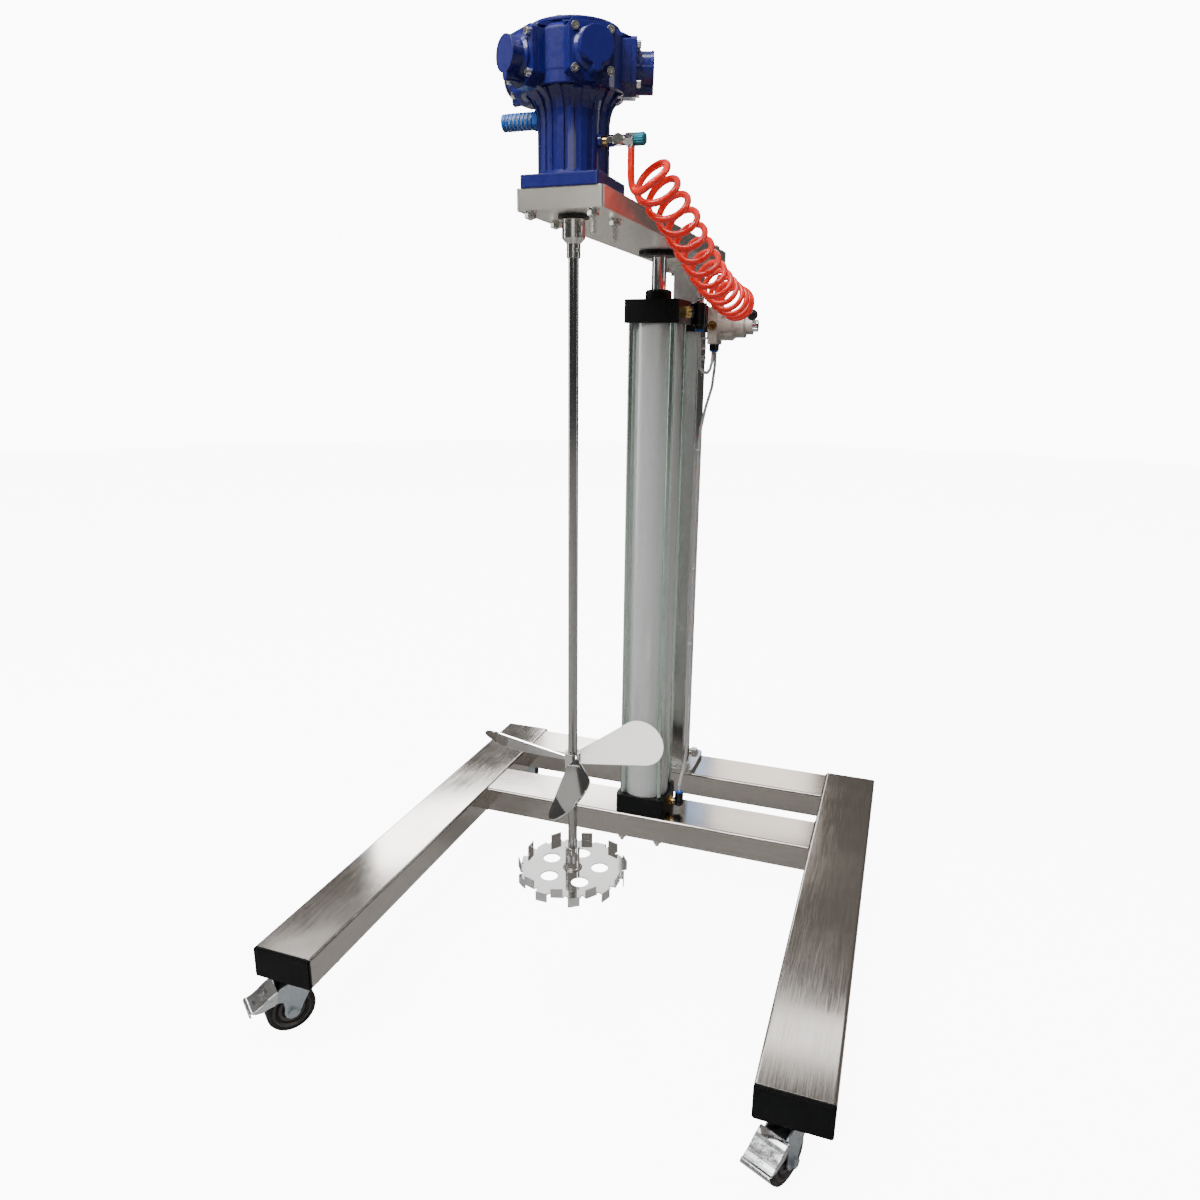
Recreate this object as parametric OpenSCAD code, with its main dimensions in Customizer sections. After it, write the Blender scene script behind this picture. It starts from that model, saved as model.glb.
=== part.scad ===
// Pneumatic paint mixer on a mobile lift stand.
// A radial piston air motor turns a long shaft with a propeller and a toothed disc.
// An air cylinder lifts the motor arm, and a square guide post keeps the arm from turning.
// Origin: on the floor, midway between the side rails and midway along them.
// +Z is up, and the open end of the base, where the drum goes in, faces -Y.

/* [Base] */
// Overall width of the base
base_w = 852; // [760:2:960]
// Length of a side rail with its end cap
rail_l = 900; // [840:10:1100]
// Width of the rectangular tube
tube_w = 100; // [90:2:120]
// Height of the rectangular tube
tube_h = 50; // [40:1:60]
// Wall of the rectangular tube
tube_wall = 3; // [2:0.5:4]
// Depth of the drum bay, from the rail ends to the front cross rail
bay_depth = 578; // [500:2:620]
// Distance of the rear cross rail from the rear ends of the side rails
rear_inset = 10; // [4:1:16]
// Visible thickness of the plastic end caps
end_cap_t = 5; // [3:0.5:8]

/* [Casters] */
// Height of a caster from the floor to its top plate
caster_h = 105; // [102:1:115]
// Diameter of a caster wheel
wheel_d = 75; // [68:1:78]
// Width of a caster wheel
wheel_w = 24; // [20:1:28]
// Distance of the wheel axle behind the swivel axis
caster_trail = 30; // [26:1:34]
// Distance of the swivel axes from the ends of the side rails
caster_inset = 55; // [50:1:80]
// Direction in which the front left caster trails, in degrees
left_swivel = 233; // [200:1:300]
// Direction in which the front right caster trails, in degrees
right_swivel = 246; // [200:1:300]
// Direction in which the rear casters trail, in degrees
rear_swivel = 80; // [60:1:120]

/* [Lift cylinder] */
// Bore of the lift cylinder
bore_d = 80; // [63:1:84]
// Wall of the cylinder barrel
barrel_wall = 3; // [2:0.5:4]
// Stroke of the lift cylinder
stroke = 800; // [600:10:900]
// Length of the barrel taken by the piston and the cushions
piston_space = 77; // [70:1:90]
// Width of the square cylinder caps
cap_w = 95; // [95:1:110]
// Height of the cylinder caps
cap_h = 38; // [34:1:44]
// Diameter of the piston rod
rod_d = 25; // [20:1:28]
// Diameter of the tie rods
tie_rod_d = 10; // [8:1:12]
// Distance between neighbouring tie rods
tie_pitch = 72; // [70:1:74]
// Length of piston rod that shows when the cylinder is closed
rod_showing = 78; // [60:1:120]

/* [Guide post] */
// Outer width of the square guide post
post_w = 60; // [56:1:64]
// Wall of the guide post
post_wall = 3; // [2:0.5:4]
// Width of the square guide bar inside the post
guide_bar_w = 50; // [44:1:50]
// Width of the square flange plates of the guide
guide_flange_w = 110; // [100:1:116]
// Thickness of the guide flange plates
guide_flange_t = 10; // [8:1:12]
// Height of the black collar on top of the post
collar_h = 50; // [40:1:60]

/* [Arm] */
// Width of the arm
arm_w = 115; // [104:1:130]
// Thickness of the arm
arm_t = 25.5; // [20:0.5:32]
// Distance from the lift cylinder axis to the motor shaft axis
arm_reach = 400; // [380:5:420]
// Distance from the motor shaft axis to the front end of the arm
arm_nose = 50; // [48:1:60]

/* [Motor] */
// Width of the square motor base plate
motor_base_w = 103; // [96:1:110]
// Thickness of the motor base plate
motor_base_t = 15; // [12:1:18]
// Diameter of the motor column
column_d = 88; // [80:1:90]
// Height of the radial cylinder axes above the arm
radial_h = 139; // [130:1:150]
// Height of the motor head above the radial cylinder axes
head_above = 40; // [38:1:50]
// Distance of the cylinder flange faces from the shaft axis
flange_apothem = 69; // [67:1:76]
// Thickness of the cylinder cover flanges
cover_t = 7; // [5:0.5:9]
// Distance of the cover caps' outer faces from the shaft axis
cover_reach = 97; // [94:0.5:108]
// Diameter of the cover caps
cover_d = 40; // [36:1:42]
// Bore of the radial cylinders
radial_bore_d = 36; // [32:1:38]
// Throw of the crank
crank_throw = 7; // [5:0.5:8]

/* [Mixing shaft] */
// Diameter of the mixing shaft
shaft_d = 14; // [12:1:16]
// Height of the toothed disc above the floor with the lift down
disc_z = 250; // [200:5:300]
// Height of the propeller above the floor with the lift down
propeller_z = 433; // [380:1:600]
// Distance of a blade's round end from the shaft axis, to the end's centre
blade_reach = 120; // [90:1:140]
// Radius of a blade's round end
blade_end_r = 38; // [24:1:42]
// Pitch of the blades, in degrees
blade_pitch = 43; // [20:1:50]
// Thickness of the sheet that the blades and the disc are cut from
sheet_t = 2; // [1.5:0.5:3]
// Radius of the toothed disc at the folds of its teeth
disc_r = 80; // [70:1:90]
// Number of teeth on the disc
teeth = 20; // [12:2:24]
// Width of a tooth
tooth_w = 20; // [12:1:22]
// Height of a tooth
tooth_h = 14; // [8:1:18]

/* [Air hoses] */
// Diameter of the motor's air hose
hose_d = 8; // [6:1:10]
// Outer diameter of the hose's coil
coil_d = 60; // [44:1:64]
// Diameter of the clear air tubes
air_tube_d = 6; // [5:1:8]

/* [Hidden] */

// Fineness of true circles, and of the children of a hull
$fn = 48;
hull_fn = 32;

// Clearances: running fits, easy fits, and parts that only pass each other
fit = 0.05;
ease = 0.15;
gap = 0.3;

// Places that several pieces share
deck_z = caster_h + tube_h;
cyl_y = -rail_l / 2 + bay_depth + tube_w / 2;
guide_y = rail_l / 2 - rear_inset - tube_w / 2;
motor_y = cyl_y - arm_reach;
cross_l = base_w - 2 * tube_w;
rail_x = base_w / 2 - tube_w / 2;

// Lift cylinder
barrel_z = deck_z + cap_h;
barrel_l = stroke + piston_space;
head_z = barrel_z + barrel_l;
head_top = head_z + cap_h;
barrel_d = bore_d + 2 * barrel_wall;
seat_depth = 6;
gland_d = 45;
gland_h = 17;
gland_seat_d = 40;
nut_d = 16;
nut_h = 11;
nut_inset = 1;
port_d = 15;
port_head_z = head_top - cap_h / 2;
port_foot_z = deck_z + cap_h / 2;
piston_h = 34;
piston_z = barrel_z + 4;

// Arm
arm_z = head_top + rod_showing;
arm_top = arm_z + arm_t;
arm_front = motor_y - arm_nose;
arm_back = guide_y + guide_flange_w / 2;
arm_wall = 4;

// Guide post
flange_bolt_inset = 17;
flange_bolt_pitch = guide_flange_w - 2 * flange_bolt_inset;
flange_bolt_across = tube_w - 2 * tube_wall - 18;
post_z = deck_z + guide_flange_t;
collar_top = head_top + 5;
collar_z = collar_top - collar_h;
collar_w = post_w + 6;
shoe_h = 60;
shoe_z = deck_z + 20;
bar_flange_z = arm_z - guide_flange_t;

// Motor
motor_base_z = arm_top + motor_base_t;
radial_z = arm_top + radial_h;
head_motor_z = radial_z + head_above;
motor_bolt_pitch = motor_base_w - 20;
column_r = column_d / 2;
neck_z = radial_z - 52;
block_w = 56;
block_h = 58;
screw_pitch = 42;
screw_d = 5;
screw_head_d = 9;
chamber_r = 40;
chamber_h = 50;
sleeve_bore_r = 26;
crank_r = 12.5;
eccentric_r = 22;
piston_skirt = 22;
piston_in = crank_throw + eccentric_r + 1;
top_rim_r = 57;
valley_r = 63;
top_rim_t = 4.5;
out_shaft_end = arm_z - 34;
first_radial = 19;

// Spindle
coupling_top = arm_z - 5;
coupling_step = coupling_top - 26;
coupling_end = coupling_top - 46;
coupling_d = 30;
coupling_neck_d = 18;
first_blade = 49;
hub_d = 24;
hub_h = 24;
disc_hub_d = 22;
disc_hub_h = 38;
disc_hole_d = 26;
disc_hole_ring = 42;
tooth_slant = 12;
first_tooth = 5;
first_hole = 18;

// Valve
valve_x = post_w / 2 + 14.5;
valve_z = collar_top - 39;
valve_base = [18, 50, 68];
valve_round_d = 54;
valve_end_d = 32;
valve_round_l = 32;
valve_step_l = 18;
valve_end_l = 14;
lever_x = valve_x + valve_base[0] + valve_round_l + valve_step_l + valve_end_l;
lever_tilt = 24;
lever_l = 44;
lever_ball_d = 20;

// Throttle
throttle_z = arm_top + 54;
throttle_off = -12;
throttle_x = column_r - 1;
hose_x = throttle_x + 36;
hose_drop = 8.6;
knob_x = throttle_x + 40.8;
silencer_z = arm_top + 86;

// Fittings
elbow_head_x = cap_w / 2 + 13.5;
elbow_foot_x = cap_w / 2 + 11;
head_elbow_d = 25;
foot_elbow_d = 19;
ring_d = 13;
ring_h = 3;
valve_fit_y = 12;
valve_fit_x = valve_x + valve_base[0] / 2;

// Ports that the hose and the tubes run to
throttle_port = [hose_x, motor_y + throttle_off, throttle_z - hose_drop - gap];
valve_top_port = [valve_fit_x, guide_y, valve_z + valve_base[2] / 2 + 22 + ring_h + gap];
valve_low_z = valve_z - valve_base[2] / 2 - 11 - ring_h - fit;
head_port = [elbow_head_x + head_elbow_d / 2, cyl_y, port_head_z - 28 - ring_h - fit];
foot_port = [elbow_foot_x + foot_elbow_d / 2, cyl_y, port_foot_z + 20 + ring_h + fit];

// Route of the motor hose at the default sizes, from the throttle to the valve's top fitting,
// and the radius of the solid at each point: the hose, or the whole coil
hose_r = hose_d / 2;
coil_r = coil_d / 2;
hose_route = [
  [79, -234, 1256.6], [79, -234, 1240], [79, -234, 1224], [81, -233, 1213], [86, -229, 1211],
  [93, -222, 1217], [98.6, -214, 1219.3], [100, -208, 1217.5], [107, -166, 1204], [110.5, -100, 1185],
  [110, -20, 1163.5], [110, 65, 1141.5], [111, 158, 1123.5], [112.5, 238, 1112.5], [111, 300, 1110],
  [109.5, 326, 1110], [109, 332, 1110.5], [106, 339, 1115], [96, 348, 1136], [84, 362, 1153],
  [70, 380, 1163], [59, 389, 1158], [53.5, 390, 1146], [53.5, 390, 1133.3]
];
hose_radii = [
  hose_r, hose_r, hose_r, hose_r, hose_r, hose_r, hose_r, coil_r - 1, coil_r - 1, coil_r - 2,
  coil_r - 2, coil_r - 2, coil_r - 1, coil_r, coil_r + 1, coil_r + 1,
  hose_r, hose_r, hose_r, hose_r, hose_r, hose_r, hose_r, hose_r
];

// Routes of the clear tubes at the default sizes: head elbow to valve, and valve to foot elbow
head_tube_route = [
  [74, 178, 1058], [74, 178, 1038], [73, 186, 1014], [69, 210, 998], [65, 250, 990],
  [60, 310, 988], [55, 352, 994], [53, 374, 1006], [53, 378, 1018], [53, 378, 1026]
];
foot_tube_route = [
  [53, 402, 1026], [53, 402, 1000], [50, 398, 960], [42, 384, 920], [37, 372, 880], [36, 368, 840],
  [36, 366, 760], [36, 366, 680], [36, 366, 600], [37, 364, 520], [38, 362, 440], [40, 356, 380],
  [44, 340, 330], [52, 300, 280], [62, 250, 250], [68, 205, 230], [68, 185, 219], [68, 178, 208],
  [68, 178, 197]
];
tie_steps = [5, 8, 10];

// Rectangle with round corners, centred
module round_rect(w, h, r) {
  square([w - 2 * r, h], center = true);
  square([w, h - 2 * r], center = true);
  for (x = [-1, 1], y = [-1, 1])
    translate([x * (w / 2 - r), y * (h / 2 - r)]) circle(r);
}

// A route moved to its two ports: each point goes along with the nearer end the most
function fitted(route, first, last) =
  let (a = route[0], b = route[len(route) - 1])
  [for (p = route)
    let (share = norm(p - a) / (norm(p - a) + norm(p - b)))
    p + (1 - share) * (first - a) + share * (last - b)];

// Hollow rectangular tube along +Y from the origin, resting on z = 0
module box_tube(w, h, wall, len, r = 4) {
  rotate([90, 0, 0]) translate([0, h / 2, -len])
    linear_extrude(len)
      difference() {
        round_rect(w, h, r);
        square([w - 2 * wall, h - 2 * wall], center = true);
      }
}

// The four corners of a square pattern
module at_corners(pitch, across = 0) {
  other = across > 0 ? across : pitch;
  for (x = [-1, 1], y = [-1, 1]) translate([x * pitch / 2, y * other / 2, 0]) children();
}

// Hexagonal prism by its width across flats
module hex(af, h) {
  cylinder(h = h, d = af / cos(30), $fn = 6);
}

// Swept tube: rings of points around a route, with a radius for each point
function unit(v) = v / norm(v);
function heading(p, i) = unit(p[min(i + 1, len(p) - 1)] - p[max(i - 1, 0)]);
function ring(p, r, i, ref, n) =
  let (t = heading(p, i), a = unit(cross(t, ref)), b = cross(t, a))
  [for (k = [0 : n - 1]) p[i] + r * (cos(360 * k / n) * a + sin(360 * k / n) * b)];
module swept(path, radii, ref, n = 8) {
  last = len(path) - 1;
  rings = [for (i = [0 : last]) ring(path, radii[i], i, ref, n)];
  polyhedron(
    points = [for (q = rings) each q],
    faces = concat(
      [[for (k = [0 : n - 1]) k]],
      [for (i = [0 : last - 1], k = [0 : n - 1])
        [i * n + k, (i + 1) * n + k, (i + 1) * n + (k + 1) % n, i * n + (k + 1) % n]],
      [[for (k = [n - 1 : -1 : 0]) last * n + k]]
    )
  );
}

// Base

// Side rail at the origin's side, open to the front and closed by a welded plate at the rear
module side_rail(side) {
  color("gainsboro")
    difference() {
      union() {
        translate([side * rail_x, -rail_l / 2 + end_cap_t, caster_h])
          box_tube(tube_w, tube_h, tube_wall, rail_l - end_cap_t);
        translate([side * rail_x - tube_w / 2 + tube_wall / 2, rail_l / 2 - tube_wall,
                   caster_h + tube_wall / 2])
          cube([tube_w - tube_wall, tube_wall, tube_h - tube_wall]);
      }
      for (y = [-1, 1])
        translate([side * rail_x, y * (rail_l / 2 - caster_inset), caster_h - 1])
          plate_corners() cylinder(h = tube_wall + 2, d = plate_bolt_d + 2 * ease);
    }
}
module left_side_rail() { side_rail(-1); }
module right_side_rail() { side_rail(1); }

// Cross rail between the side rails, with holes for the bolts of what stands on it
module cross_rail(y) {
  translate([-cross_l / 2, y, caster_h]) rotate([0, 0, -90]) box_tube(tube_w, tube_h, tube_wall, cross_l);
}
module front_cross_rail() {
  color("gainsboro")
    difference() {
      cross_rail(cyl_y);
      translate([0, cyl_y, caster_h - 1]) at_corners(tie_pitch)
        cylinder(h = tube_h + 2, d = tie_rod_d + 4 * ease);
    }
}
module rear_cross_rail() {
  color("gainsboro")
    difference() {
      cross_rail(guide_y);
      translate([0, guide_y, deck_z - tube_wall - 1]) at_corners(flange_bolt_pitch, flange_bolt_across)
        cylinder(h = tube_wall + 2, d = flange_bolt_d + 4 * ease);
    }
}

// Black plug with a bevelled face in the front end of each side rail
module rail_end_caps() {
  plug = 18;
  color("black")
    for (side = [-1, 1])
      translate([side * rail_x, -rail_l / 2, caster_h + tube_h / 2]) rotate([-90, 0, 0]) {
        linear_extrude(1.5) round_rect(tube_w - 3, tube_h - 3, 3);
        translate([0, 0, 1.5]) linear_extrude(end_cap_t - 1.5) round_rect(tube_w, tube_h, 4);
        translate([0, 0, end_cap_t]) linear_extrude(plug)
          difference() {
            square([tube_w - 2 * tube_wall - 1, tube_h - 2 * tube_wall - 1], center = true);
            square([tube_w - 2 * tube_wall - 7, tube_h - 2 * tube_wall - 7], center = true);
          }
      }
}

// Casters

plate_w = 88;
plate_l = 68;
plate_t = 3.5;
plate_bolt_x = 70;
plate_bolt_y = 50;
plate_bolt_d = 8;
race_d = 54;
race_h = 9;
fork_top_z = caster_h - plate_t - race_h - gap;
fork_t = 2.5;
fork_top_t = 3.7;
fork_in = wheel_w / 2 + 2.5;
kingpin_d = 12;
kingpin_head_d = 20;
kingpin_head_t = 3;
axle_d = 8;
axle_z = wheel_d / 2;
pedal_pin_d = 6;
pedal_pin_x = caster_trail + 29;
pedal_pin_z = 68;
pedal_w = 2 * (fork_in + fork_t + 4);

module plate_corners() {
  for (x = [-1, 1], y = [-1, 1])
    translate([x * plate_bolt_x / 2, y * plate_bolt_y / 2, 0]) children();
}
module at_caster(side, end, angle) {
  translate([side * rail_x, end * (rail_l / 2 - caster_inset), 0]) rotate([0, 0, angle]) children();
}

// Top plate with its ball race and kingpin, and the four screws that hold it to the rail
module caster_plates() {
  color("silver")
    for (side = [-1, 1], end = [-1, 1])
      at_caster(side, end, 0) {
        difference() {
          union() {
            translate([0, 0, caster_h - plate_t]) linear_extrude(plate_t) round_rect(plate_w, plate_l, 6);
            translate([0, 0, caster_h - plate_t - race_h]) cylinder(h = race_h, d = race_d);
            translate([0, 0, caster_h - plate_t - 5]) cylinder(h = 3, d = race_d + 5);
            translate([0, 0, fork_top_z - fork_top_t - gap])
              cylinder(h = caster_h - fork_top_z + fork_top_t + gap, d = kingpin_d);
            translate([0, 0, fork_top_z - fork_top_t - gap - kingpin_head_t])
              cylinder(h = kingpin_head_t, d = kingpin_head_d);
          }
          translate([0, 0, caster_h - plate_t - 1]) plate_corners()
            cylinder(h = plate_t + 2, d = plate_bolt_d + 2 * ease);
        }
        plate_corners() {
          translate([0, 0, caster_h - plate_t - 5]) hex(12, 5);
          translate([0, 0, caster_h - plate_t]) cylinder(h = plate_t + tube_wall + 8, d = plate_bolt_d);
          translate([0, 0, caster_h + tube_wall]) hex(12.5, 6);
        }
      }
}

// Leg of the fork: a pressed plate that sweeps from the swivel head down to the axle
module fork_leg(pedal_arm) {
  top = fork_top_z - fork_top_t + 1;
  rotate([90, 0, 0])
    linear_extrude(fork_t, center = true)
      difference() {
        union() {
          polygon([
            [-27, top], [24, top], [caster_trail + 10, axle_z + 40], [caster_trail + 12, axle_z + 24],
            [caster_trail + 11, axle_z + 8], [caster_trail + 12, axle_z], [caster_trail - 12, axle_z - 2],
            [caster_trail - 17, axle_z + 8], [caster_trail - 26, axle_z + 24], [-8, top - 16], [-25, top - 8]
          ]);
          translate([caster_trail, axle_z]) circle(12);
          if (pedal_arm) {
            polygon([
              [20, top], [28, top], [caster_trail + 14, pedal_pin_z + 15],
              [pedal_pin_x - 2, pedal_pin_z + 7.5],
              [pedal_pin_x, pedal_pin_z - 7], [pedal_pin_x - 10, pedal_pin_z - 7.5],
              [caster_trail + 14, pedal_pin_z - 8.5], [caster_trail + 11, axle_z + 18]
            ]);
            translate([pedal_pin_x, pedal_pin_z]) circle(7);
          }
        }
        translate([caster_trail, axle_z]) circle(axle_d / 2 + fit);
        if (pedal_arm) translate([pedal_pin_x, pedal_pin_z]) circle(pedal_pin_d / 2 + fit);
      }
}

// Swivel fork with its axle bolt and nut
module fork(pedal_arm) {
  color("lightsteelblue") {
    difference() {
      union() {
        translate([0, 0, fork_top_z - fork_top_t]) cylinder(h = fork_top_t, d = 60);
        for (s = [-1, 1]) translate([0, s * (fork_in + fork_t / 2), 0]) fork_leg(pedal_arm);
      }
      translate([0, 0, fork_top_z - fork_top_t - 1]) cylinder(h = fork_top_t + 2, d = kingpin_d + 2 * fit);
      translate([0, 0, fork_top_z - fork_top_t - 40]) cylinder(h = 40, d = kingpin_head_d + 2);
    }
    translate([caster_trail, 0, axle_z]) rotate([90, 0, 0]) {
      cylinder(h = 2 * (fork_in + fork_t), d = axle_d, center = true);
      translate([0, 0, fork_in + fork_t]) hex(13, 5);
      translate([0, 0, -fork_in - fork_t - 6]) hex(13, 6);
    }
  }
}
module front_left_fork() { at_caster(-1, -1, left_swivel) fork(true); }
module front_right_fork() { at_caster(1, -1, right_swivel) fork(true); }
module rear_left_fork() { at_caster(-1, 1, rear_swivel) fork(false); }
module rear_right_fork() { at_caster(1, 1, rear_swivel) fork(false); }

// Wheel with a rounded tread, a stepped rim and a hub that runs on the axle
module wheel() {
  r = wheel_d / 2;
  w = wheel_w / 2;
  color("dimgray")
    translate([caster_trail, 0, axle_z]) rotate([90, 0, 0])
      difference() {
        union() {
          rotate_extrude()
            polygon([
              [axle_d / 2 + fit, -w - 2], [9, -w - 2], [9, -w + 3], [14, -w + 3], [15, -w + 1], [22, -w + 1],
              [23, -w + 3], [26, -w + 3], [27, -w], [r - 4, -w], [r - 1.2, -w + 1.2], [r, -w + 4],
              [r, w - 4], [r - 1.2, w - 1.2], [r - 4, w], [27, w], [26, w - 3], [23, w - 3],
              [22, w - 1], [15, w - 1], [14, w - 3], [9, w - 3], [9, w + 2], [axle_d / 2 + fit, w + 2]
            ]);
        }
      }
}
module front_left_wheel() { at_caster(-1, -1, left_swivel) wheel(); }
module front_right_wheel() { at_caster(1, -1, right_swivel) wheel(); }
module rear_left_wheel() { at_caster(-1, 1, rear_swivel) wheel(); }
module rear_right_wheel() { at_caster(1, 1, rear_swivel) wheel(); }

// Brake pedal: a curved tread plate with a rolled lip, and two cheeks on a pin through the fork
tread = [[-9, 16], [-4, 14], [1, 11.5], [5, 9], [9, 6], [13, 3], [17, 0.4], [21, -1.8], [25, -3.6], [29, -5]];
module pedal() {
  t = 2.4;
  cheek = fork_in + fork_t + 0.6;
  last = len(tread) - 1;
  below = [for (i = [last : -1 : 0]) tread[i] - [i < last ? 0.5 : 0, 0.88] * t];
  lip = [31, -8.5];
  color("silver")
    translate([pedal_pin_x, 0, pedal_pin_z]) {
      rotate([90, 0, 0]) linear_extrude(pedal_w, center = true) {
        polygon(concat(tread, below));
        difference() {
          translate(lip) circle(4);
          translate(lip) circle(4 - t + 0.6);
          translate(lip + [-8, -8]) square([8, 8]);
        }
      }
      for (s = [-1, 1])
        translate([0, s * (cheek + 1), 0]) rotate([90, 0, 0]) linear_extrude(2, center = true) {
        polygon(concat(
          [for (p = tread) p - [0, 1]],
          [[25, -11], [14, -12], [6, -9], [-5, -6], [-9, 4]]
        ));
        circle(8);
      }
      rotate([90, 0, 0]) cylinder(h = 2 * cheek + 5, d = pedal_pin_d, center = true);
    }
}
module front_left_pedal() { at_caster(-1, -1, left_swivel) pedal(); }
module front_right_pedal() { at_caster(1, -1, right_swivel) pedal(); }

// Lift cylinder

module cap_block(z) {
  translate([0, cyl_y, z]) linear_extrude(cap_h) round_rect(cap_w, cap_w, 8);
}
module cylinder_foot_cap() {
  color("black")
    difference() {
      cap_block(deck_z);
      translate([0, cyl_y, barrel_z - seat_depth]) cylinder(h = seat_depth + 1, d = barrel_d + 2 * ease);
      translate([0, cyl_y, port_foot_z - 4]) cylinder(h = cap_h, d = 30);
      translate([0, cyl_y, port_foot_z]) rotate([0, 90, 0]) cylinder(h = cap_w, d = port_d);
      translate([0, cyl_y, deck_z - 1]) at_corners(tie_pitch) {
        cylinder(h = cap_h + 2, d = tie_rod_d + 2 * ease);
        cylinder(h = nut_h + nut_inset + 1, d = nut_d + 2 * ease);
      }
    }
}
module cylinder_head_cap() {
  color("black")
    difference() {
      cap_block(head_z);
      translate([0, cyl_y, head_z - 1]) cylinder(h = seat_depth + 1, d = barrel_d + 2 * ease);
      translate([0, cyl_y, head_z - 1]) cylinder(h = cap_h + 2, d = gland_seat_d);
      translate([0, cyl_y, port_head_z]) rotate([0, 90, 0]) cylinder(h = cap_w, d = port_d);
      translate([0, cyl_y, head_z - 1]) at_corners(tie_pitch) {
        cylinder(h = cap_h + 2, d = tie_rod_d + 2 * ease);
        translate([0, 0, cap_h - nut_h - nut_inset + 1])
          cylinder(h = nut_h + nut_inset + 1, d = nut_d + 2 * ease);
      }
    }
}
module cylinder_barrel() {
  color("lightgray")
    translate([0, cyl_y, barrel_z - seat_depth])
      difference() {
        cylinder(h = barrel_l + 2 * seat_depth, d = barrel_d);
        translate([0, 0, -1]) cylinder(h = barrel_l + 2 * seat_depth + 2, d = bore_d);
      }
}

// Four tie rods, each with a round socket nut sunk in the foot and in the head
module cylinder_tie_rods() {
  low = deck_z + nut_inset;
  high = head_top - nut_inset;
  color("lightblue")
    translate([0, cyl_y, 0]) at_corners(tie_pitch) {
      translate([0, 0, low + nut_h]) cylinder(h = high - low - 2 * nut_h, d = tie_rod_d);
      translate([0, 0, low]) tie_nut();
      translate([0, 0, high]) mirror([0, 0, 1]) tie_nut();
    }
}
module tie_nut() {
  difference() {
    cylinder(h = nut_h, d = nut_d);
    translate([0, 0, -1]) cylinder(h = nut_h - 3, d = tie_rod_d - 1);
  }
}

// Gland bush around the piston rod, with a rounded collar above the head
module rod_gland() {
  r = gland_d / 2;
  color("black")
    translate([0, cyl_y, 0]) rotate_extrude()
      difference() {
        union() {
          translate([rod_d / 2 + fit, port_head_z + 8])
            square([gland_seat_d / 2 - fit - rod_d / 2 - fit, cap_h / 2 - 8]);
          translate([rod_d / 2 + fit, head_top]) square([r - 5 - rod_d / 2 - fit, gland_h]);
          translate([rod_d / 2 + fit, head_top]) square([r - rod_d / 2 - fit, gland_h - 5]);
          translate([r - 5, head_top + gland_h - 5]) circle(5);
        }
      }
}

// Bolts that hold the lift cylinder to the front cross rail and the guide to the rear one
flange_bolt_d = 10;
module stand_bolts() {
  grip = tube_h + nut_inset + nut_h - 4;
  color("silver") {
    translate([0, cyl_y, caster_h]) at_corners(tie_pitch) {
      translate([0, 0, -8]) hex(14, 6);
      translate([0, 0, -2]) cylinder(h = 2, d = 19);
      translate([0, 0, -14]) cylinder(h = 6, d = tie_rod_d - 2);
      cylinder(h = grip, d = tie_rod_d - 1.2);
    }
    translate([0, guide_y, deck_z]) at_corners(flange_bolt_pitch, flange_bolt_across) {
      translate([0, 0, -tube_wall - 9]) hex(16, 8);
      translate([0, 0, -tube_wall - 12]) cylinder(h = tube_wall + 12 + guide_flange_t, d = flange_bolt_d);
      translate([0, 0, guide_flange_t]) cylinder(h = 2, d = 20);
      translate([0, 0, guide_flange_t + 2]) hex(16, 6.5);
    }
  }
}

// Guide

module flange_plate(hole_d) {
  linear_extrude(guide_flange_t)
    difference() {
      round_rect(guide_flange_w, guide_flange_w, 12);
      for (x = [-1, 1], y = [-1, 1])
        translate([x * flange_bolt_pitch / 2, y * flange_bolt_across / 2]) circle(hole_d / 2 + 2 * ease);
    }
}
module square_tube(w, wall, h, r = 3) {
  linear_extrude(h)
    difference() {
      round_rect(w, w, r);
      square(w - 2 * wall, center = true);
    }
}
module guide_foot_flange() {
  color("silver") translate([0, guide_y, deck_z]) flange_plate(flange_bolt_d);
}
module guide_post() {
  color("silver") translate([0, guide_y, post_z]) square_tube(post_w, post_wall, collar_z - post_z);
}

// Plastic collar that closes the top of the post around the guide bar
module guide_collar() {
  color("black")
    translate([0, guide_y, 0]) {
      translate([0, 0, collar_z])
        linear_extrude(collar_h)
          difference() {
            round_rect(collar_w, collar_w, 4);
            square(guide_bar_w + 2 * gap, center = true);
          }
      translate([0, 0, collar_z - 14])
        linear_extrude(14)
          difference() {
            square(post_w - 2 * post_wall - 2 * ease, center = true);
            square(guide_bar_w + 2 * gap, center = true);
          }
    }
}

// Bar that slides in the post, the shoe on its foot and the flange on its head
module guide_bar() {
  low = shoe_z + 10;
  color("silver") translate([0, guide_y, low]) square_tube(guide_bar_w, 2.5, bar_flange_z - low, 2);
}
module guide_shoe() {
  color("ivory")
    translate([0, guide_y, shoe_z]) {
      linear_extrude(10) square(post_w - 2 * post_wall - 2 * gap, center = true);
      translate([0, 0, 10]) linear_extrude(shoe_h - 10)
        square(guide_bar_w - 5 - 2 * ease, center = true);
    }
}
module guide_bar_flange() {
  color("silver")
    translate([0, guide_y, 0]) {
      translate([0, 0, bar_flange_z]) flange_plate(flange_bolt_d);
      at_corners(flange_bolt_pitch, flange_bolt_across) {
        translate([0, 0, bar_flange_z - 6.5]) hex(16, 6.5);
        translate([0, 0, bar_flange_z]) cylinder(h = guide_flange_t + arm_t + 12, d = flange_bolt_d);
        translate([0, 0, arm_top]) cylinder(h = 2, d = 20);
        translate([0, 0, arm_top + 2]) hex(16, 8);
      }
    }
}

// Valve and fittings

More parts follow.
